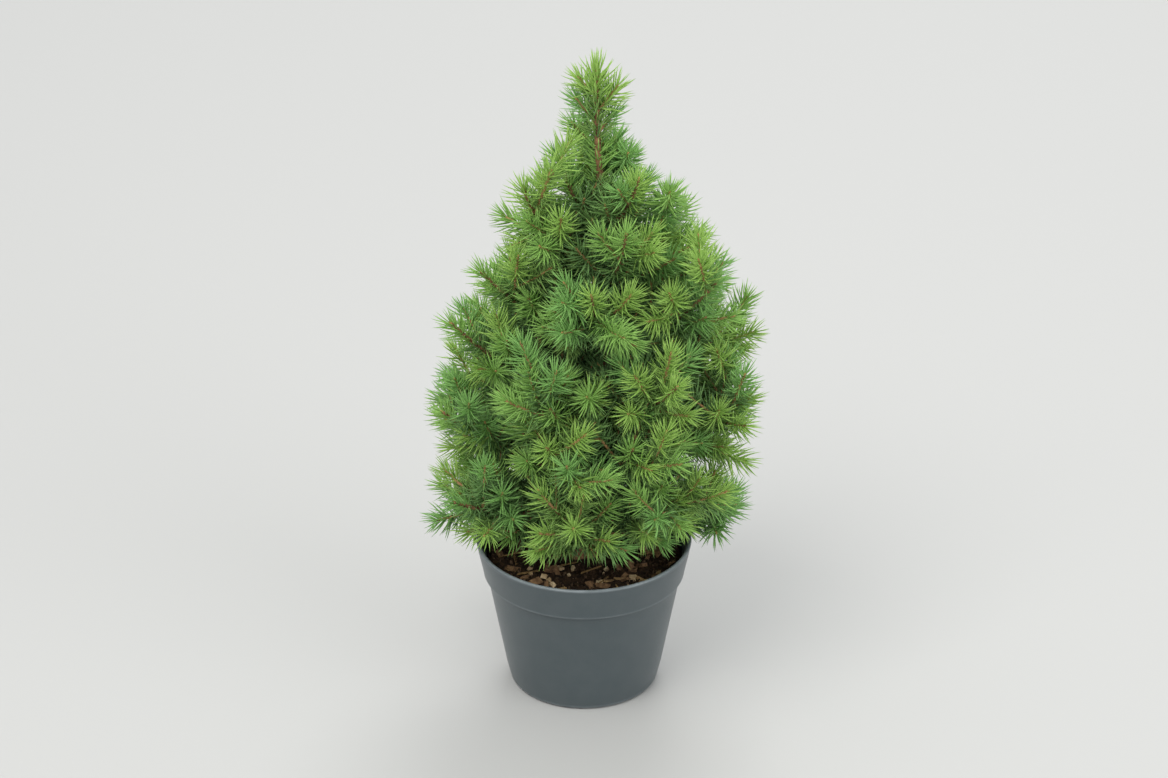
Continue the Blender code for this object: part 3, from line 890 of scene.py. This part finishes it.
def circle_point(radius, angle, z):
    return Vector((radius * math.cos(angle), radius * math.sin(angle), z))


def limb_point(limb, along):
    start = limb.rise
    end = start + limb.bend * along
    reach = (math.sin(end) - math.sin(start)) / limb.bend
    up = (math.cos(start) - math.cos(end)) / limb.bend
    return limb.root + circle_point(reach, limb.heading, up)


print(len(TIERS), "tiers with", sum(tier.count for tier in TIERS), "limbs")

# %% Growing the limbs
WHORL_SPREAD = 0.014
ROOT_SPREAD = 0.001
HEADING_SPREAD = 8
RISE_SPREAD = 5
TIP_RISE_SPREAD = 6
STEM_SPREAD = (0.86, 1.12)
LEADER_LENGTH = 0.029
LEADER_RISE = math.radians(88)
LEADER_BEND = math.radians(3)
LIMB_SEED = 41


def wobble(draw, spread):
    return draw.uniform(-spread, spread)


def grow_limbs():
    draw = random.Random(LIMB_SEED)
    limbs = []
    for tier in TIERS:
        for k in range(tier.count):
            around = 360 * k / tier.count
            heading = math.radians(tier.heading + around + wobble(draw, HEADING_SPREAD))
            stagger = WHORL_SPREAD * (3 * k % tier.count / tier.count - 0.5)
            root = trunk_point(tier.height + stagger + wobble(draw, ROOT_SPREAD))
            lift = tier.lift * max(0.0, -math.sin(heading))
            rise = math.radians(tier.rise + lift + wobble(draw, RISE_SPREAD))
            tip_rise = math.radians(tier.tip_rise + lift + wobble(draw, TIP_RISE_SPREAD))
            length = tier.bough + tier.stem * draw.uniform(*STEM_SPREAD)
            bend = (tip_rise - rise) / length
            name = f"{tier.name}_{k + 1}"
            limbs.append(Limb(name, root, heading, rise, bend, tier.thick, tier.bough, length))
    top = trunk_point(TRUNK_LENGTH)
    bend = LEADER_BEND / LEADER_LENGTH
    leader = (top, math.pi, LEADER_RISE, bend, TRUNK_TIP_RADIUS, 0.0, LEADER_LENGTH)
    return limbs + [Limb("leader", *leader)]


LIMBS = grow_limbs()
print(len(LIMBS), "limbs with the leader")

# %% Limbs against the CAD's boughs
SLACK = 0.002
boughs_checked = [limb for limb in LIMBS if limb.bough]
for limb in boughs_checked:
    low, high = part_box(f"bough_{limb.name}")
    tip = limb_point(limb, limb.bough * 0.8)
    inside = all(low[k] - SLACK < tip[k] < high[k] + SLACK for k in range(3))
    assert inside, f"bough {limb.name} isn't where its node is"
print(len(boughs_checked), "boughs, each where its CAD node is")

# %% [markdown]
# ## Shoots
# Along each limb the CAD rule sets side sprays at stations, each at its own turn round the stem and
# lifting towards the light. Real shoots fork on, and so does the rule here. Forks at random places
# could leave bare patches beside crowded ones. So a finer shoot tries a few turns round its parent
# and keeps the one whose tip ends furthest from all other tips, as buds in the light win on a real
# bush. It is left out where that is less than about a centimetre, so each finer shoot reads as a
# brush of its own. A shoot is cut back where it would touch the pot or the soil, and a finer one
# also where it would leave the crown, whose edge is lumpy.

# %% The crown's room
# How far finer shoots fill the crown: height and reach from the trunk. Limbs stand out of it.
CROWN = (
    (0.045, 0.0430),
    (0.070, 0.0520),
    (0.095, 0.0560),
    (0.120, 0.0555),
    (0.150, 0.0500),
    (0.180, 0.0410),
    (0.203, 0.0290),
    (0.222, 0.0150),
    (0.240, 0.0040),
    (0.300, 0.0010),
)
CROWN_HEIGHTS, CROWN_REACHES = zip(*CROWN)


def crown_reach(z):
    return float(np.interp(z, CROWN_HEIGHTS, CROWN_REACHES))


def from_trunk(point):
    """How far a point is from the trunk's line, measured level."""
    middle = trunk_point(min(max(point.z - SOIL_TOP, 0), TRUNK_LENGTH))
    return math.hypot(point.x - middle.x, point.y - middle.y)


print("the crown reaches", round(1000 * max(CROWN_REACHES)), "mm from the trunk, before its lumps")

# %% Where a shoot may be
FLOOR_CLEAR = 0.002
RIM_CLEAR = 0.003
RIM_HANG = 0.012
NOTCH_FROM = 0.181
NOTCH_MIDDLE = 0.006
NOTCH_HALF = 0.009
NOTCH_BACK = 0.002
LUMP_SCALE = 38
LUMP_SHARE = 0.26
FRONT_FLOOR = POT_HEIGHT + 0.002
FRONT_SLOPE = 0.36


def floor_below(point):
    """The lowest that a shoot may be here: over the soil, over the rim, or hanging past it."""
    away = math.hypot(point.x, point.y)
    if away < pot_inner_radius(POT_HEIGHT) - RIM_CLEAR:
        return SOIL_TOP + SOIL_BUMP
    if away < POT_RIM_RADIUS + RIM_CLEAR:
        return POT_HEIGHT + 0.001
    return POT_HEIGHT - RIM_HANG


def above_floor(point):
    return point.z > floor_below(point) + FLOOR_CLEAR


def cut_back(path, fits):
    """The path as far as its points fit."""
    kept = next((k for k in range(1, len(path)) if not fits(path[k])), len(path))
    return path[:kept]


def before_leader(point):
    """In the notch where the trunk's top shows between the shoots."""
    beside = abs(point.x - NOTCH_MIDDLE) < NOTCH_HALF
    return point.z > NOTCH_FROM and point.y < NOTCH_BACK and beside


def in_crown(point, share):
    """Inside this share of the lumpy crown, and above the fan left open before the soil."""
    if before_leader(point):
        return False
    open_front = FRONT_FLOOR + FRONT_SLOPE * max(0.0, -point.y)
    reach = crown_reach(point.z) * (1 + LUMP_SHARE * noise.noise(point * LUMP_SCALE)) * share
    return above_floor(point) and from_trunk(point) < reach and point.z > open_front


print("a shoot past the rim may hang", round(1000 * RIM_HANG), "mm below it")

# %% Shoot lines
STEP = 0.0020
SPRAY_LIFT = 0.16
SPRAY_BOW = 0.10


def side_path(foot, direction, roll, angle, length, draw):
    """A side shoot's line: out at an angle to its parent, lifting as it goes, a little bowed."""
    side, over = frame_of(direction)
    outward = side * math.cos(roll) + over * math.sin(roll)
    aim = direction * math.cos(angle) + outward * math.sin(angle)
    bow = frame_of(aim)[0] * wobble(draw, SPRAY_BOW)
    steps = max(3, round(length / STEP))
    lengths = [length * k / steps for k in range(steps + 1)]
    bend = UP * SPRAY_LIFT + bow
    return [foot + aim * s + bend * s * s / length for s in lengths]


def path_direction(path, k):
    return (path[min(k + 1, len(path) - 1)] - path[max(k - 1, 0)]).normalized()


print("a shoot's line has a point every", 1000 * STEP, "mm or so")

# %% Stems and the CAD's side sprays
Shoot = namedtuple("Shoot", "path foot_radius tip_radius order")
Station = namedtuple("Station", "along roll length")
STATIONS = (
    Station(0.10, 20, 0.020),
    Station(0.26, 160, 0.025),
    Station(0.46, 28, 0.023),
    Station(0.64, 152, 0.019),
    Station(0.38, 92, 0.021),
)
STATION_ALONG = 0.03
STATION_ROLL = 14
STATION_ANGLE = 6
STATION_LENGTH = (0.85, 1.15)
SPRAY_ANGLE = math.radians(50)
SPRAY_FULL_LIMB = 0.062
SPRAY_RADII = (0.0007, 0.0005)
STEM_TIP_RADIUS = 0.0006
SHOOT_SEED = 7


def grow_main_shoots(draw):
    """Every limb's stem, and its side sprays at the CAD's stations."""
    shoots = []
    for limb in LIMBS:
        steps = round(limb.length / STEP)
        stem = [limb_point(limb, limb.length * k / steps) for k in range(steps + 1)]
        shoots.append(Shoot(stem, limb.thick, STEM_TIP_RADIUS, 0))
        scale = min(1.0, limb.length / SPRAY_FULL_LIMB)
        for station in STATIONS:
            share = station.along + wobble(draw, STATION_ALONG)
            along = limb.bough + (limb.length - limb.bough) * share
            k = min(len(stem) - 2, round(along / limb.length * steps))
            roll = math.radians(station.roll + wobble(draw, STATION_ROLL))
            angle = SPRAY_ANGLE + math.radians(wobble(draw, STATION_ANGLE))
            length = station.length * draw.uniform(*STATION_LENGTH) * scale
            path = side_path(stem[k], path_direction(stem, k), roll, angle, length, draw)
            path = cut_back(path, above_floor)
            if len(path) > 3:
                shoots.append(Shoot(path, *SPRAY_RADII, 1))
    return shoots


shoot_draw = random.Random(SHOOT_SEED)
MAIN_SHOOTS = grow_main_shoots(shoot_draw)
print(len(MAIN_SHOOTS), "stems and side sprays")

# %% The best of a few tries
TRIES = 12
ROLLS = (-60, 240)
LEAN_SPREAD = 10
RAGGED = (0.80, 1.10)


def best_side_path(parent, along, rule, tips, draw):
    """Of a few tries, the side shoot whose tip is furthest from other tips, if far enough."""
    best, best_space = None, rule.room
    k = min(len(parent) - 2, max(1, round(along * (len(parent) - 1))))
    for _ in range(TRIES):
        roll = math.radians(draw.uniform(*ROLLS))
        lean = math.radians(rule.angle + wobble(draw, LEAN_SPREAD))
        share = draw.uniform(*RAGGED)
        length = draw.uniform(*rule.lengths)
        path = side_path(parent[k], path_direction(parent, k), roll, lean, length, draw)
        path = cut_back(path, lambda point: in_crown(point, share))
        space = float(np.linalg.norm(tips - np.array(path[-1]), axis=1).min())
        if len(path) > 4 and space > best_space:
            best, best_space = path, space
    return best


print("a finer shoot has", TRIES, "tries")

# %% Finer shoots
Round = namedtuple("Round", "orders alongs lengths angle room order thick")
STEM_PLACES = (0.20, 0.55, 0.36, 0.75, 0.08, 0.46, 0.65, 0.28, 0.85)
ROUNDS = (
    Round((0,), STEM_PLACES, (0.016, 0.028), 50, 0.0120, 1, 0.0007),
    Round((1,), (0.30, 0.50, 0.70), (0.011, 0.018), 46, 0.0105, 2, 0.0005),
    Round((0,), (0.12, 0.30, 0.50, 0.70), (0.012, 0.030), 55, 0.0100, 2, 0.0005),
)
ALONG_SPREAD = 0.05
THINNING = 0.75


def grow_finer_shoots(shoots, draw):
    """Side shoots between the CAD's, place by place over all parents, and smaller ones on those."""
    tips = np.array([tuple(shoot.path[-1]) for shoot in shoots])
    bare = [limb.bough / limb.length for limb in LIMBS]
    for rule in ROUNDS:
        parents = [shoot for shoot in shoots if shoot.order in rule.orders]
        starts = bare if rule.orders == (0,) else [0.0] * len(parents)
        for along in rule.alongs:
            for parent, start in zip(parents, starts):
                place = start + (1 - start) * (along + wobble(draw, ALONG_SPREAD))
                path = best_side_path(parent.path, place, rule, tips, draw)
                if path:
                    shoots.append(Shoot(path, rule.thick, rule.thick * THINNING, rule.order))
                    tips = np.vstack([tips, np.array(path[-1])])
    return shoots


SHOOTS = grow_finer_shoots(list(MAIN_SHOOTS), shoot_draw)
print([sum(s.order == k for s in SHOOTS) for k in range(3)], "stems, side shoots and twiglets")
metres = sum((b - a).length for s in SHOOTS for a, b in zip(s.path, s.path[1:]))
print("metres of shoots:", round(metres, 2))

# %% [markdown]
# ## Boughs and twigs
# The limbs get the trunk's relief: they are thick enough for it to show. All but the leader start
# inside the trunk and have a small collar there, as real branches do. The thinner twigs could be
# built the same way, but their relief would be too fine to see. So they are wires that Geometry
# Nodes turns into tubes: every wire becomes a curve, and the radius kept on its points sets how
# thick the tube is.

# %% Boughs
bough_bark = finish("bough_bark", BARK, 0.8, (600.0, 0.45, 0.4), (2600.0, 0.00015), specular=0.3)
BOUGH_STEP = 0.0009
BOUGH_SIDES = 12
BRANCH_COLLAR = 0.5
BRANCH_COLLAR_LENGTH = 0.0015


def limb_radius(limb, along):
    """The CAD bough's taper, carried on to the stem's tip, with a collar at the trunk."""
    share = (along / limb.length) ** TAPER_POWER
    radius = limb.thick + (STEM_TIP_RADIUS - limb.thick) * share
    if limb.name == "leader":
        return radius
    outside = max(0.0, along - trunk_radius(limb.root.z - SOIL_TOP))
    return radius * (1 + BRANCH_COLLAR * math.exp(-(outside / BRANCH_COLLAR_LENGTH)))


def make_boughs():
    made = bmesh.new()
    for limb in LIMBS:
        steps = round(limb.length / BOUGH_STEP)
        alongs = [limb.length * k / steps for k in range(steps + 1)]
        middles = [limb_point(limb, a) for a in alongs]
        forwards = [path_direction(middles, k) for k in range(len(middles))]
        rod(made, middles, forwards, lambda k, _: limb_radius(limb, alongs[k]), BOUGH_SIDES)
    return bark_piece("boughs_with_bark", made, bough_bark)


boughs = make_boughs()

# %% Twigs
young_twig = finish("young_twig", ("b58c5e", "8d6442"), 0.7, (500.0, 0.4, 0.2), (3000.0, 0.0001))
TUBES = {"Sides": 5, "Material": young_twig}


def wire(name, paths, **attributes):
    """Paths as a mesh of loose edges. An attribute has a list of numbers or vectors per path."""
    points = [p for path in paths for p in path]
    edges = []
    first = 0
    for path in paths:
        edges += [(first + k, first + k + 1) for k in range(len(path) - 1)]
        first += len(path)
    mesh = bpy.data.meshes.new(name)
    mesh.from_pydata([tuple(p) for p in points], edges, [])
    for label, lists in attributes.items():
        values = [value for part in lists for value in part]
        if isinstance(values[0], Vector):
            layer = mesh.attributes.new(label, "FLOAT_VECTOR", "POINT")
            layer.data.foreach_set("vector", [number for value in values for number in value])
        else:
            mesh.attributes.new(label, "FLOAT", "POINT").data.foreach_set("value", values)
    return link(name, mesh)


def attribute(tree, name, kind="FLOAT"):
    """What the points carry under this name."""
    return out(add(tree, "InputNamedAttribute", name, settings={"data_type": kind}), "Attribute")


def make_tube_tree():
    tree, given, end = geometry_tree("tubes", TUBES)
    curves = add(tree, "MeshToCurve", given["Geometry"])
    profile = add(tree, "CurvePrimitiveCircle", Resolution=given["Sides"], Radius=1.0)
    width = attribute(tree, "radius")
    tubes = add(tree, "CurveToMesh", curves, profile, Scale=width, Fill_Caps=True)
    return close_tree(tree, given, end, tubes)


def taper(shoot):
    last = len(shoot.path) - 1
    foot, tip = shoot.foot_radius, shoot.tip_radius
    return [foot + (tip - foot) * k / last for k in range(last + 1)]


FINE_SHOOTS = [s for s in SHOOTS if s.order > 0]
twig_wire = wire("twig_wire", [s.path for s in FINE_SHOOTS], radius=[taper(s) for s in FINE_SHOOTS])
twigs = grow("young_twigs", twig_wire, make_tube_tree(), TUBES)

# %% [markdown]
# ## Needles
# A spruce needle is a slim, four-sided rod that bends a little towards the shoot's tip. Particle
# hair would be quick to set up, but an export drops particles. Instead Geometry Nodes walks along
# every shoot in steps, turns by the golden angle at each, and leans a needle out from the twig,
# less so towards the tip, which gives each shoot its starburst. Three sides are enough here, as a
# needle is under two pixels wide. Needles that would poke into the pot or the soil, or end more
# than about a millimetre outside the CAD's box, are dropped.

# %% Where a needle may not be
BOX_MARGIN = 0.0012
WALL_CLEAR = 0.0004
LIP_CLEAR = 0.0002
SOIL_CLEAR = 0.0008


def make_blocked_group():
    """True where a point is in the soil, in the pot's wall or outside the CAD's box."""
    group = bpy.data.node_groups.new("blocked", "GeometryNodeTree")
    given, end = group_sockets(group, {"Point": (0.0, 0.0, 0.0)}, {"Blocked": "Bool"})
    away, height = away_and_height(group, given["Point"])
    over_soil = maths(group, "LESS_THAN", away, pot_inner_radius(POT_HEIGHT) - WALL_CLEAR)
    over_pot = maths(group, "LESS_THAN", away, POT_RIM_RADIUS + WALL_CLEAR)
    rim = POT_HEIGHT + LIP_CLEAR
    level = maths(group, "MULTIPLY_ADD", over_soil, SOIL_TOP + SOIL_CLEAR - rim, rim)
    level = times(group, level, over_pot)
    in_pot = maths(group, "LESS_THAN", height, level)
    margin = Vector((BOX_MARGIN, BOX_MARGIN, BOX_MARGIN))
    limits = {"GREATER_THAN": CAD_BOX[0] - margin, "LESS_THAN": CAD_BOX[1] + margin}
    inside = []
    for operation, corner in limits.items():
        settings = {"data_type": "VECTOR", "mode": "ELEMENT", "operation": operation}
        inside.append(add(group, "Compare", given["Point"], corner, settings=settings))
    either = booleans(group, "OR", in_pot, booleans(group, "NAND", *inside))
    group.links.new(out(either), end.inputs[0])
    return group


BLOCKED = make_blocked_group()
print("a needle may end", 1000 * BOX_MARGIN, "mm past the CAD's box")

# %% Needle sizes
GOLDEN_ANGLE = math.radians(137.508)
NEEDLE_SIDES = 3
# A needle's width along its length is a parabola: 0.75 of Thickness at its foot, 0 at its point.
NEEDLE_WIDTH = (-2.0, 1.25, 0.75)
NEEDLE_MIDDLE = 0.55
NEEDLE_POINT = 0.00001
NEEDLE_SIZES = (0.82, 1.12)
SPIN_SPREAD = 0.3
# The spacing is along the shoot. A needle leans out by Foot Lean, and at a shoot's tip by Tip Lean.
NEEDLE = {
    "Spacing": 0.00018,
    "Length": 0.0096,
    "Thickness": 0.00034,
    "Bend": 0.0012,
    "Foot Lean": math.radians(64),
    "Tip Lean": math.radians(32),
    "Spread": math.radians(16),
}
print("full needles are", 1000 * NEEDLE["Length"], "mm long, before their own size")

# %% Needles on a shoot
def make_needle_tree(surface):
    inputs = {**NEEDLE, "Seed": 0, "Material": surface}
    tree, given, end = geometry_tree("needles_on_shoots", inputs)
    length = given["Length"]
    middle = add(tree, "CombineXYZ", 0.0, 0.0, times(tree, length, NEEDLE_MIDDLE))
    tip = add(tree, "CombineXYZ", times(tree, given["Bend"], -1.0), 0.0, length)
    line = add(tree, "CurveQuadraticBezier", 2, (0.0, 0.0, 0.0), middle, tip)
    factor = out(add(tree, "SplineParameter"), "Factor")
    curve, slope, at_foot = NEEDLE_WIDTH
    width = maths(tree, "MULTIPLY_ADD", factor, curve, slope)
    width = maths(tree, "MULTIPLY_ADD", factor, width, at_foot)
    sizes = {"Resolution": NEEDLE_SIDES, "Radius": given["Thickness"]}
    profile = add(tree, "CurvePrimitiveCircle", **sizes)
    needle = add(tree, "CurveToMesh", line, profile, Scale=width, Fill_Caps=True)
    needle = add(tree, "MergeByDistance", needle, Distance=NEEDLE_POINT)

    curves = add(tree, "MeshToCurve", given["Geometry"])
    steps = {"Curve": curves, "Length": given["Spacing"]}
    points = add(tree, "CurveToPoints", settings={"mode": "LENGTH"}, **steps)
    along = out(points, "Tangent")
    upright = add(tree, "AlignRotationToVector", Vector=along, settings={"axis": "Z"})

    def own_chance(low, high, offset):
        return chance(tree, low, high, maths(tree, "ADD", given["Seed"], float(offset)))

    uneven = own_chance(-SPIN_SPREAD, SPIN_SPREAD, 1)
    spin = maths(tree, "MULTIPLY_ADD", add(tree, "InputIndex"), GOLDEN_ANGLE, uneven)
    spin = add(tree, "AxisAngleToRotation", Axis=(0, 0, 1), Angle=spin)
    span = maths(tree, "SUBTRACT", given["Tip Lean"], given["Foot Lean"])
    lean = maths(tree, "MULTIPLY_ADD", attribute(tree, "nose"), span, given["Foot Lean"])
    spread = times(tree, given["Spread"], own_chance(-1.0, 1.0, 2))
    lean = maths(tree, "ADD", lean, spread)
    lean = add(tree, "AxisAngleToRotation", Axis=(0, 1, 0), Angle=lean)
    local = {"rotation_space": "LOCAL"}
    rotation = add(tree, "RotateRotation", upright, spin, settings=local)
    rotation = add(tree, "RotateRotation", rotation, lean, settings=local)
    size = times(tree, attribute(tree, "full"), own_chance(*NEEDLE_SIZES, 3))

    foot = add(tree, "InputPosition")
    blocked = []
    for share in (0.5, 1.0):
        reach = times(tree, times(tree, length, share), size)
        arm = add(tree, "CombineXYZ", 0.0, 0.0, reach)
        point = vectors(tree, "ADD", foot, add(tree, "RotateVector", arm, rotation))
        blocked.append(use(tree, BLOCKED, point))
    clear = booleans(tree, "NOR", *blocked)
    kept = maths(tree, "LESS_THAN", own_chance(0.0, 1.0, 4), attribute(tree, "dense"))
    shown = booleans(tree, "AND", clear, kept)
    turned_needle = {"Instance": needle, "Rotation": rotation, "Scale": size}
    needles = add(tree, "InstanceOnPoints", out(points, "Points"), shown, **turned_needle)
    return close_tree(tree, given, end, needles)


print("the tree for needles has", len(NEEDLE), "named sizes and angles")

# %% [markdown]
# ## Which needle is which green
# The end of every outer shoot is this spring's growth, a bright yellow-green, longer at the top of
# the plant than low down. Behind it sit last year's needles in mid green, and in the shade of the
# crown they are darker and a little bluer. One material could fade along the shoots, but a piece
# for each green keeps every material plain. So each shoot is dealt one of three tones, and is split
# by the distance to its tip and by how deep in the crown it ends. The trunk's top carries needles
# of its own.

# %% Runs of needles
Habit = namedtuple("Habit", "nose size bare")
Run = namedtuple("Run", "path nose full dense")
NOSE_LENGTH = 0.009
NOSE_POWER = 1.5
TIP_SIZE = 0.76
TIP_GROWTH = 60


def path_lengths(path):
    lengths = [0.0]
    for a, b in zip(path, path[1:]):
        lengths.append(lengths[-1] + (b - a).length)
    return lengths


def split_run(path, low, high, habit, dense):
    """The part of a shoot whose distance to the tip is from low to high, or None."""
    lengths = path_lengths(path)
    whole = lengths[-1]
    kept = [k for k, s in enumerate(lengths) if low - STEP <= whole - s <= high and s >= habit.bare]
    if len(kept) < 2:
        return None
    left = [whole - lengths[k] for k in kept]
    return Run(
        [path[k] for k in kept],
        [habit.nose + max(0.0, 1 - away / NOSE_LENGTH) ** NOSE_POWER for away in left],
        [habit.size * min(1.0, TIP_SIZE + TIP_GROWTH * away) for away in left],
        [dense] * len(kept),
    )


LEADER = next(k for k, shoot in enumerate(SHOOTS) if shoot.path[0] == LIMBS[-1].root)
leader_length = path_lengths(SHOOTS[LEADER].path)[-1]
print("the leader is", round(1000 * leader_length, 1), "mm long")

# %% Needle dealing
FRESH_HEIGHTS = (0.07, 0.17)
FRESH_REACHES = (0.007, 0.014)
MIDDLE_LENGTH = 0.014
FRESH_DEPTH = 0.014
MIDDLE_DEPTH = 0.026
DENSE = {"fresh": 1.0, "middle": 0.85, "deep": 0.62}
TONES = ("cool", "plain", "warm")
STEM_HABIT = Habit(0.0, 1.0, 0.009)
SHOOT_HABIT = Habit(0.0, 1.0, 0.0015)
LEADER_HABIT = Habit(0.45, 1.16, 0.0)
TRUNK_NEEDLES = (("middle_plain", 0.110, 0.140), ("fresh_plain", 0.139, TRUNK_LENGTH))
TRUNK_RUN = (0.25, 1.0, 0.75)


def deal_needles():
    """Runs of needles by the name of their green."""
    draw = random.Random(SHOOT_SEED + 1)
    runs = {}
    for green, low, high in TRUNK_NEEDLES:
        part = [trunk_point(h) for h in np.arange(low, high, STEP)]
        runs[green] = [Run(part, *([value] * len(part) for value in TRUNK_RUN))]
    for shoot in SHOOTS:
        tip = shoot.path[-1]
        depth = crown_reach(tip.z) - from_trunk(tip)
        tone = draw.choice(TONES) if shoot is not SHOOTS[LEADER] else "warm"
        habit = STEM_HABIT if shoot.order == 0 else SHOOT_HABIT
        if shoot is SHOOTS[LEADER]:
            habit = LEADER_HABIT
        fresh = float(np.interp(tip.z, FRESH_HEIGHTS, FRESH_REACHES))
        cuts = (0, fresh, fresh + MIDDLE_LENGTH, 1)
        greens = [f"fresh_{tone}", f"middle_{tone}", "deep", "deep", "deep"]
        greens = greens[(depth > FRESH_DEPTH) + (depth > MIDDLE_DEPTH) :]
        for green, low, high in zip(greens, cuts, cuts[1:]):
            run = split_run(shoot.path, low, high, habit, DENSE[green.split("_")[0]])
            if run:
                runs.setdefault(green, []).append(run)
    return runs


RUNS = deal_needles()
print({green: len(runs) for green, runs in RUNS.items()})

# %% Needle pieces
GREENS = {
    "fresh_cool": ("8ab868", "7cac5f"),
    "fresh_plain": ("95bf66", "86b15a"),
    "fresh_warm": ("a0c465", "90b75a"),
    "middle_cool": ("779c5f", "6a8e55"),
    "middle_plain": ("7da25d", "6f9554"),
    "middle_warm": ("85a65b", "779953"),
    "deep": ("6d9059", "60834f"),
}

needle_pieces = []
for number, (green, colours) in enumerate(GREENS.items()):
    surface = finish(f"needles_{green}", colours, 0.62, (260.0, 0.5, 0.2), specular=0.15)
    if number == 0:
        NEEDLE_TREE = make_needle_tree(surface)
    runs = RUNS[green]
    lists = {label: [getattr(run, label) for run in runs] for label in Run._fields[1:]}
    base = wire(f"wire_{green}", [run.path for run in runs], **lists)
    values = {**NEEDLE, "Seed": 10 * number, "Material": surface}
    needle_pieces.append(grow(f"needles_{green}", base, NEEDLE_TREE, values))

# %% [markdown]
# ## Buds
# Every shoot ends in a bud: a small pointed egg in tan scales, which can show as a warm dot in the
# middle of the starburst. A sphere on every tip would do from afar, but it wouldn't point along its
# shoot. So the points carry the direction of their shoots, and the tree pinches a sphere into an
# egg and turns it that way.

# %% Buds
bud_scale = finish("bud_scale", ("bb935c", "87613c"), 0.6, (900.0, 0.4))
BUD_SIZES = (0.75, 1.1)
BUD_WAIST = 0.8
BUD_PINCH = 0.9
BUD = {"Width": 0.0013, "Length": 0.0024, "Material": bud_scale}


def make_bud_tree():
    tree, given, end = geometry_tree("buds", BUD)
    egg = out(add(tree, "MeshUVSphere", 6, 4, 0.5), "Mesh")
    position = add(tree, "InputPosition")
    height = out(add(tree, "SeparateXYZ", position), "Z")
    pinch = maths(tree, "MULTIPLY_ADD", height, -BUD_PINCH, BUD_WAIST)
    pinch = add(tree, "CombineXYZ", pinch, pinch, 1.0)
    pinched = vectors(tree, "MULTIPLY", position, pinch)
    egg = add(tree, "SetPosition", Geometry=egg, Position=pinched)
    size = add(tree, "CombineXYZ", given["Width"], given["Width"], given["Length"])
    egg = add(tree, "Transform", egg, Scale=size)
    aim = attribute(tree, "aim", "FLOAT_VECTOR")
    eggs = add(
        tree,
        "InstanceOnPoints",
        Points=add(tree, "MeshToPoints", given["Geometry"], Radius=0.001),
        Instance=egg,
        Rotation=add(tree, "AlignRotationToVector", Vector=aim, settings={"axis": "Z"}),
        Scale=chance(tree, *BUD_SIZES, 2),
    )
    return close_tree(tree, given, end, eggs)


aims = [[path_direction(s.path, len(s.path) - 1)] for s in SHOOTS]
bud_points = wire("bud_points", [[s.path[-1]] for s in SHOOTS], aim=aims)
buds = grow("tip_buds", bud_points, make_bud_tree(), BUD)

# %% [markdown]
# ## On the plant's body
# Every new piece rides on the plant's only body, and the CAD nodes that it stands for are hidden.

# %% Ride and hide the CAD nodes
FOLIAGE = [name for name in NODES if name.startswith("foliage_")]
BOUGHS = [name for name in NODES if name.startswith("bough_")]

for piece, slot, nodes in (
    (pot, "pot_plastic", ["pot"]),
    (soil, "potting_soil", ["soil"]),
    *((bit, "potting_soil", ["soil"]) for bit in soil_bits),
    (trunk, "bark", ["trunk"]),
    (boughs, "bark", BOUGHS),
    (twigs, "bark", FOLIAGE),
    (buds, "bark", FOLIAGE),
    *((piece, "needles", FOLIAGE) for piece in needle_pieces),
):
    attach(piece, "root")
    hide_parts(*nodes)
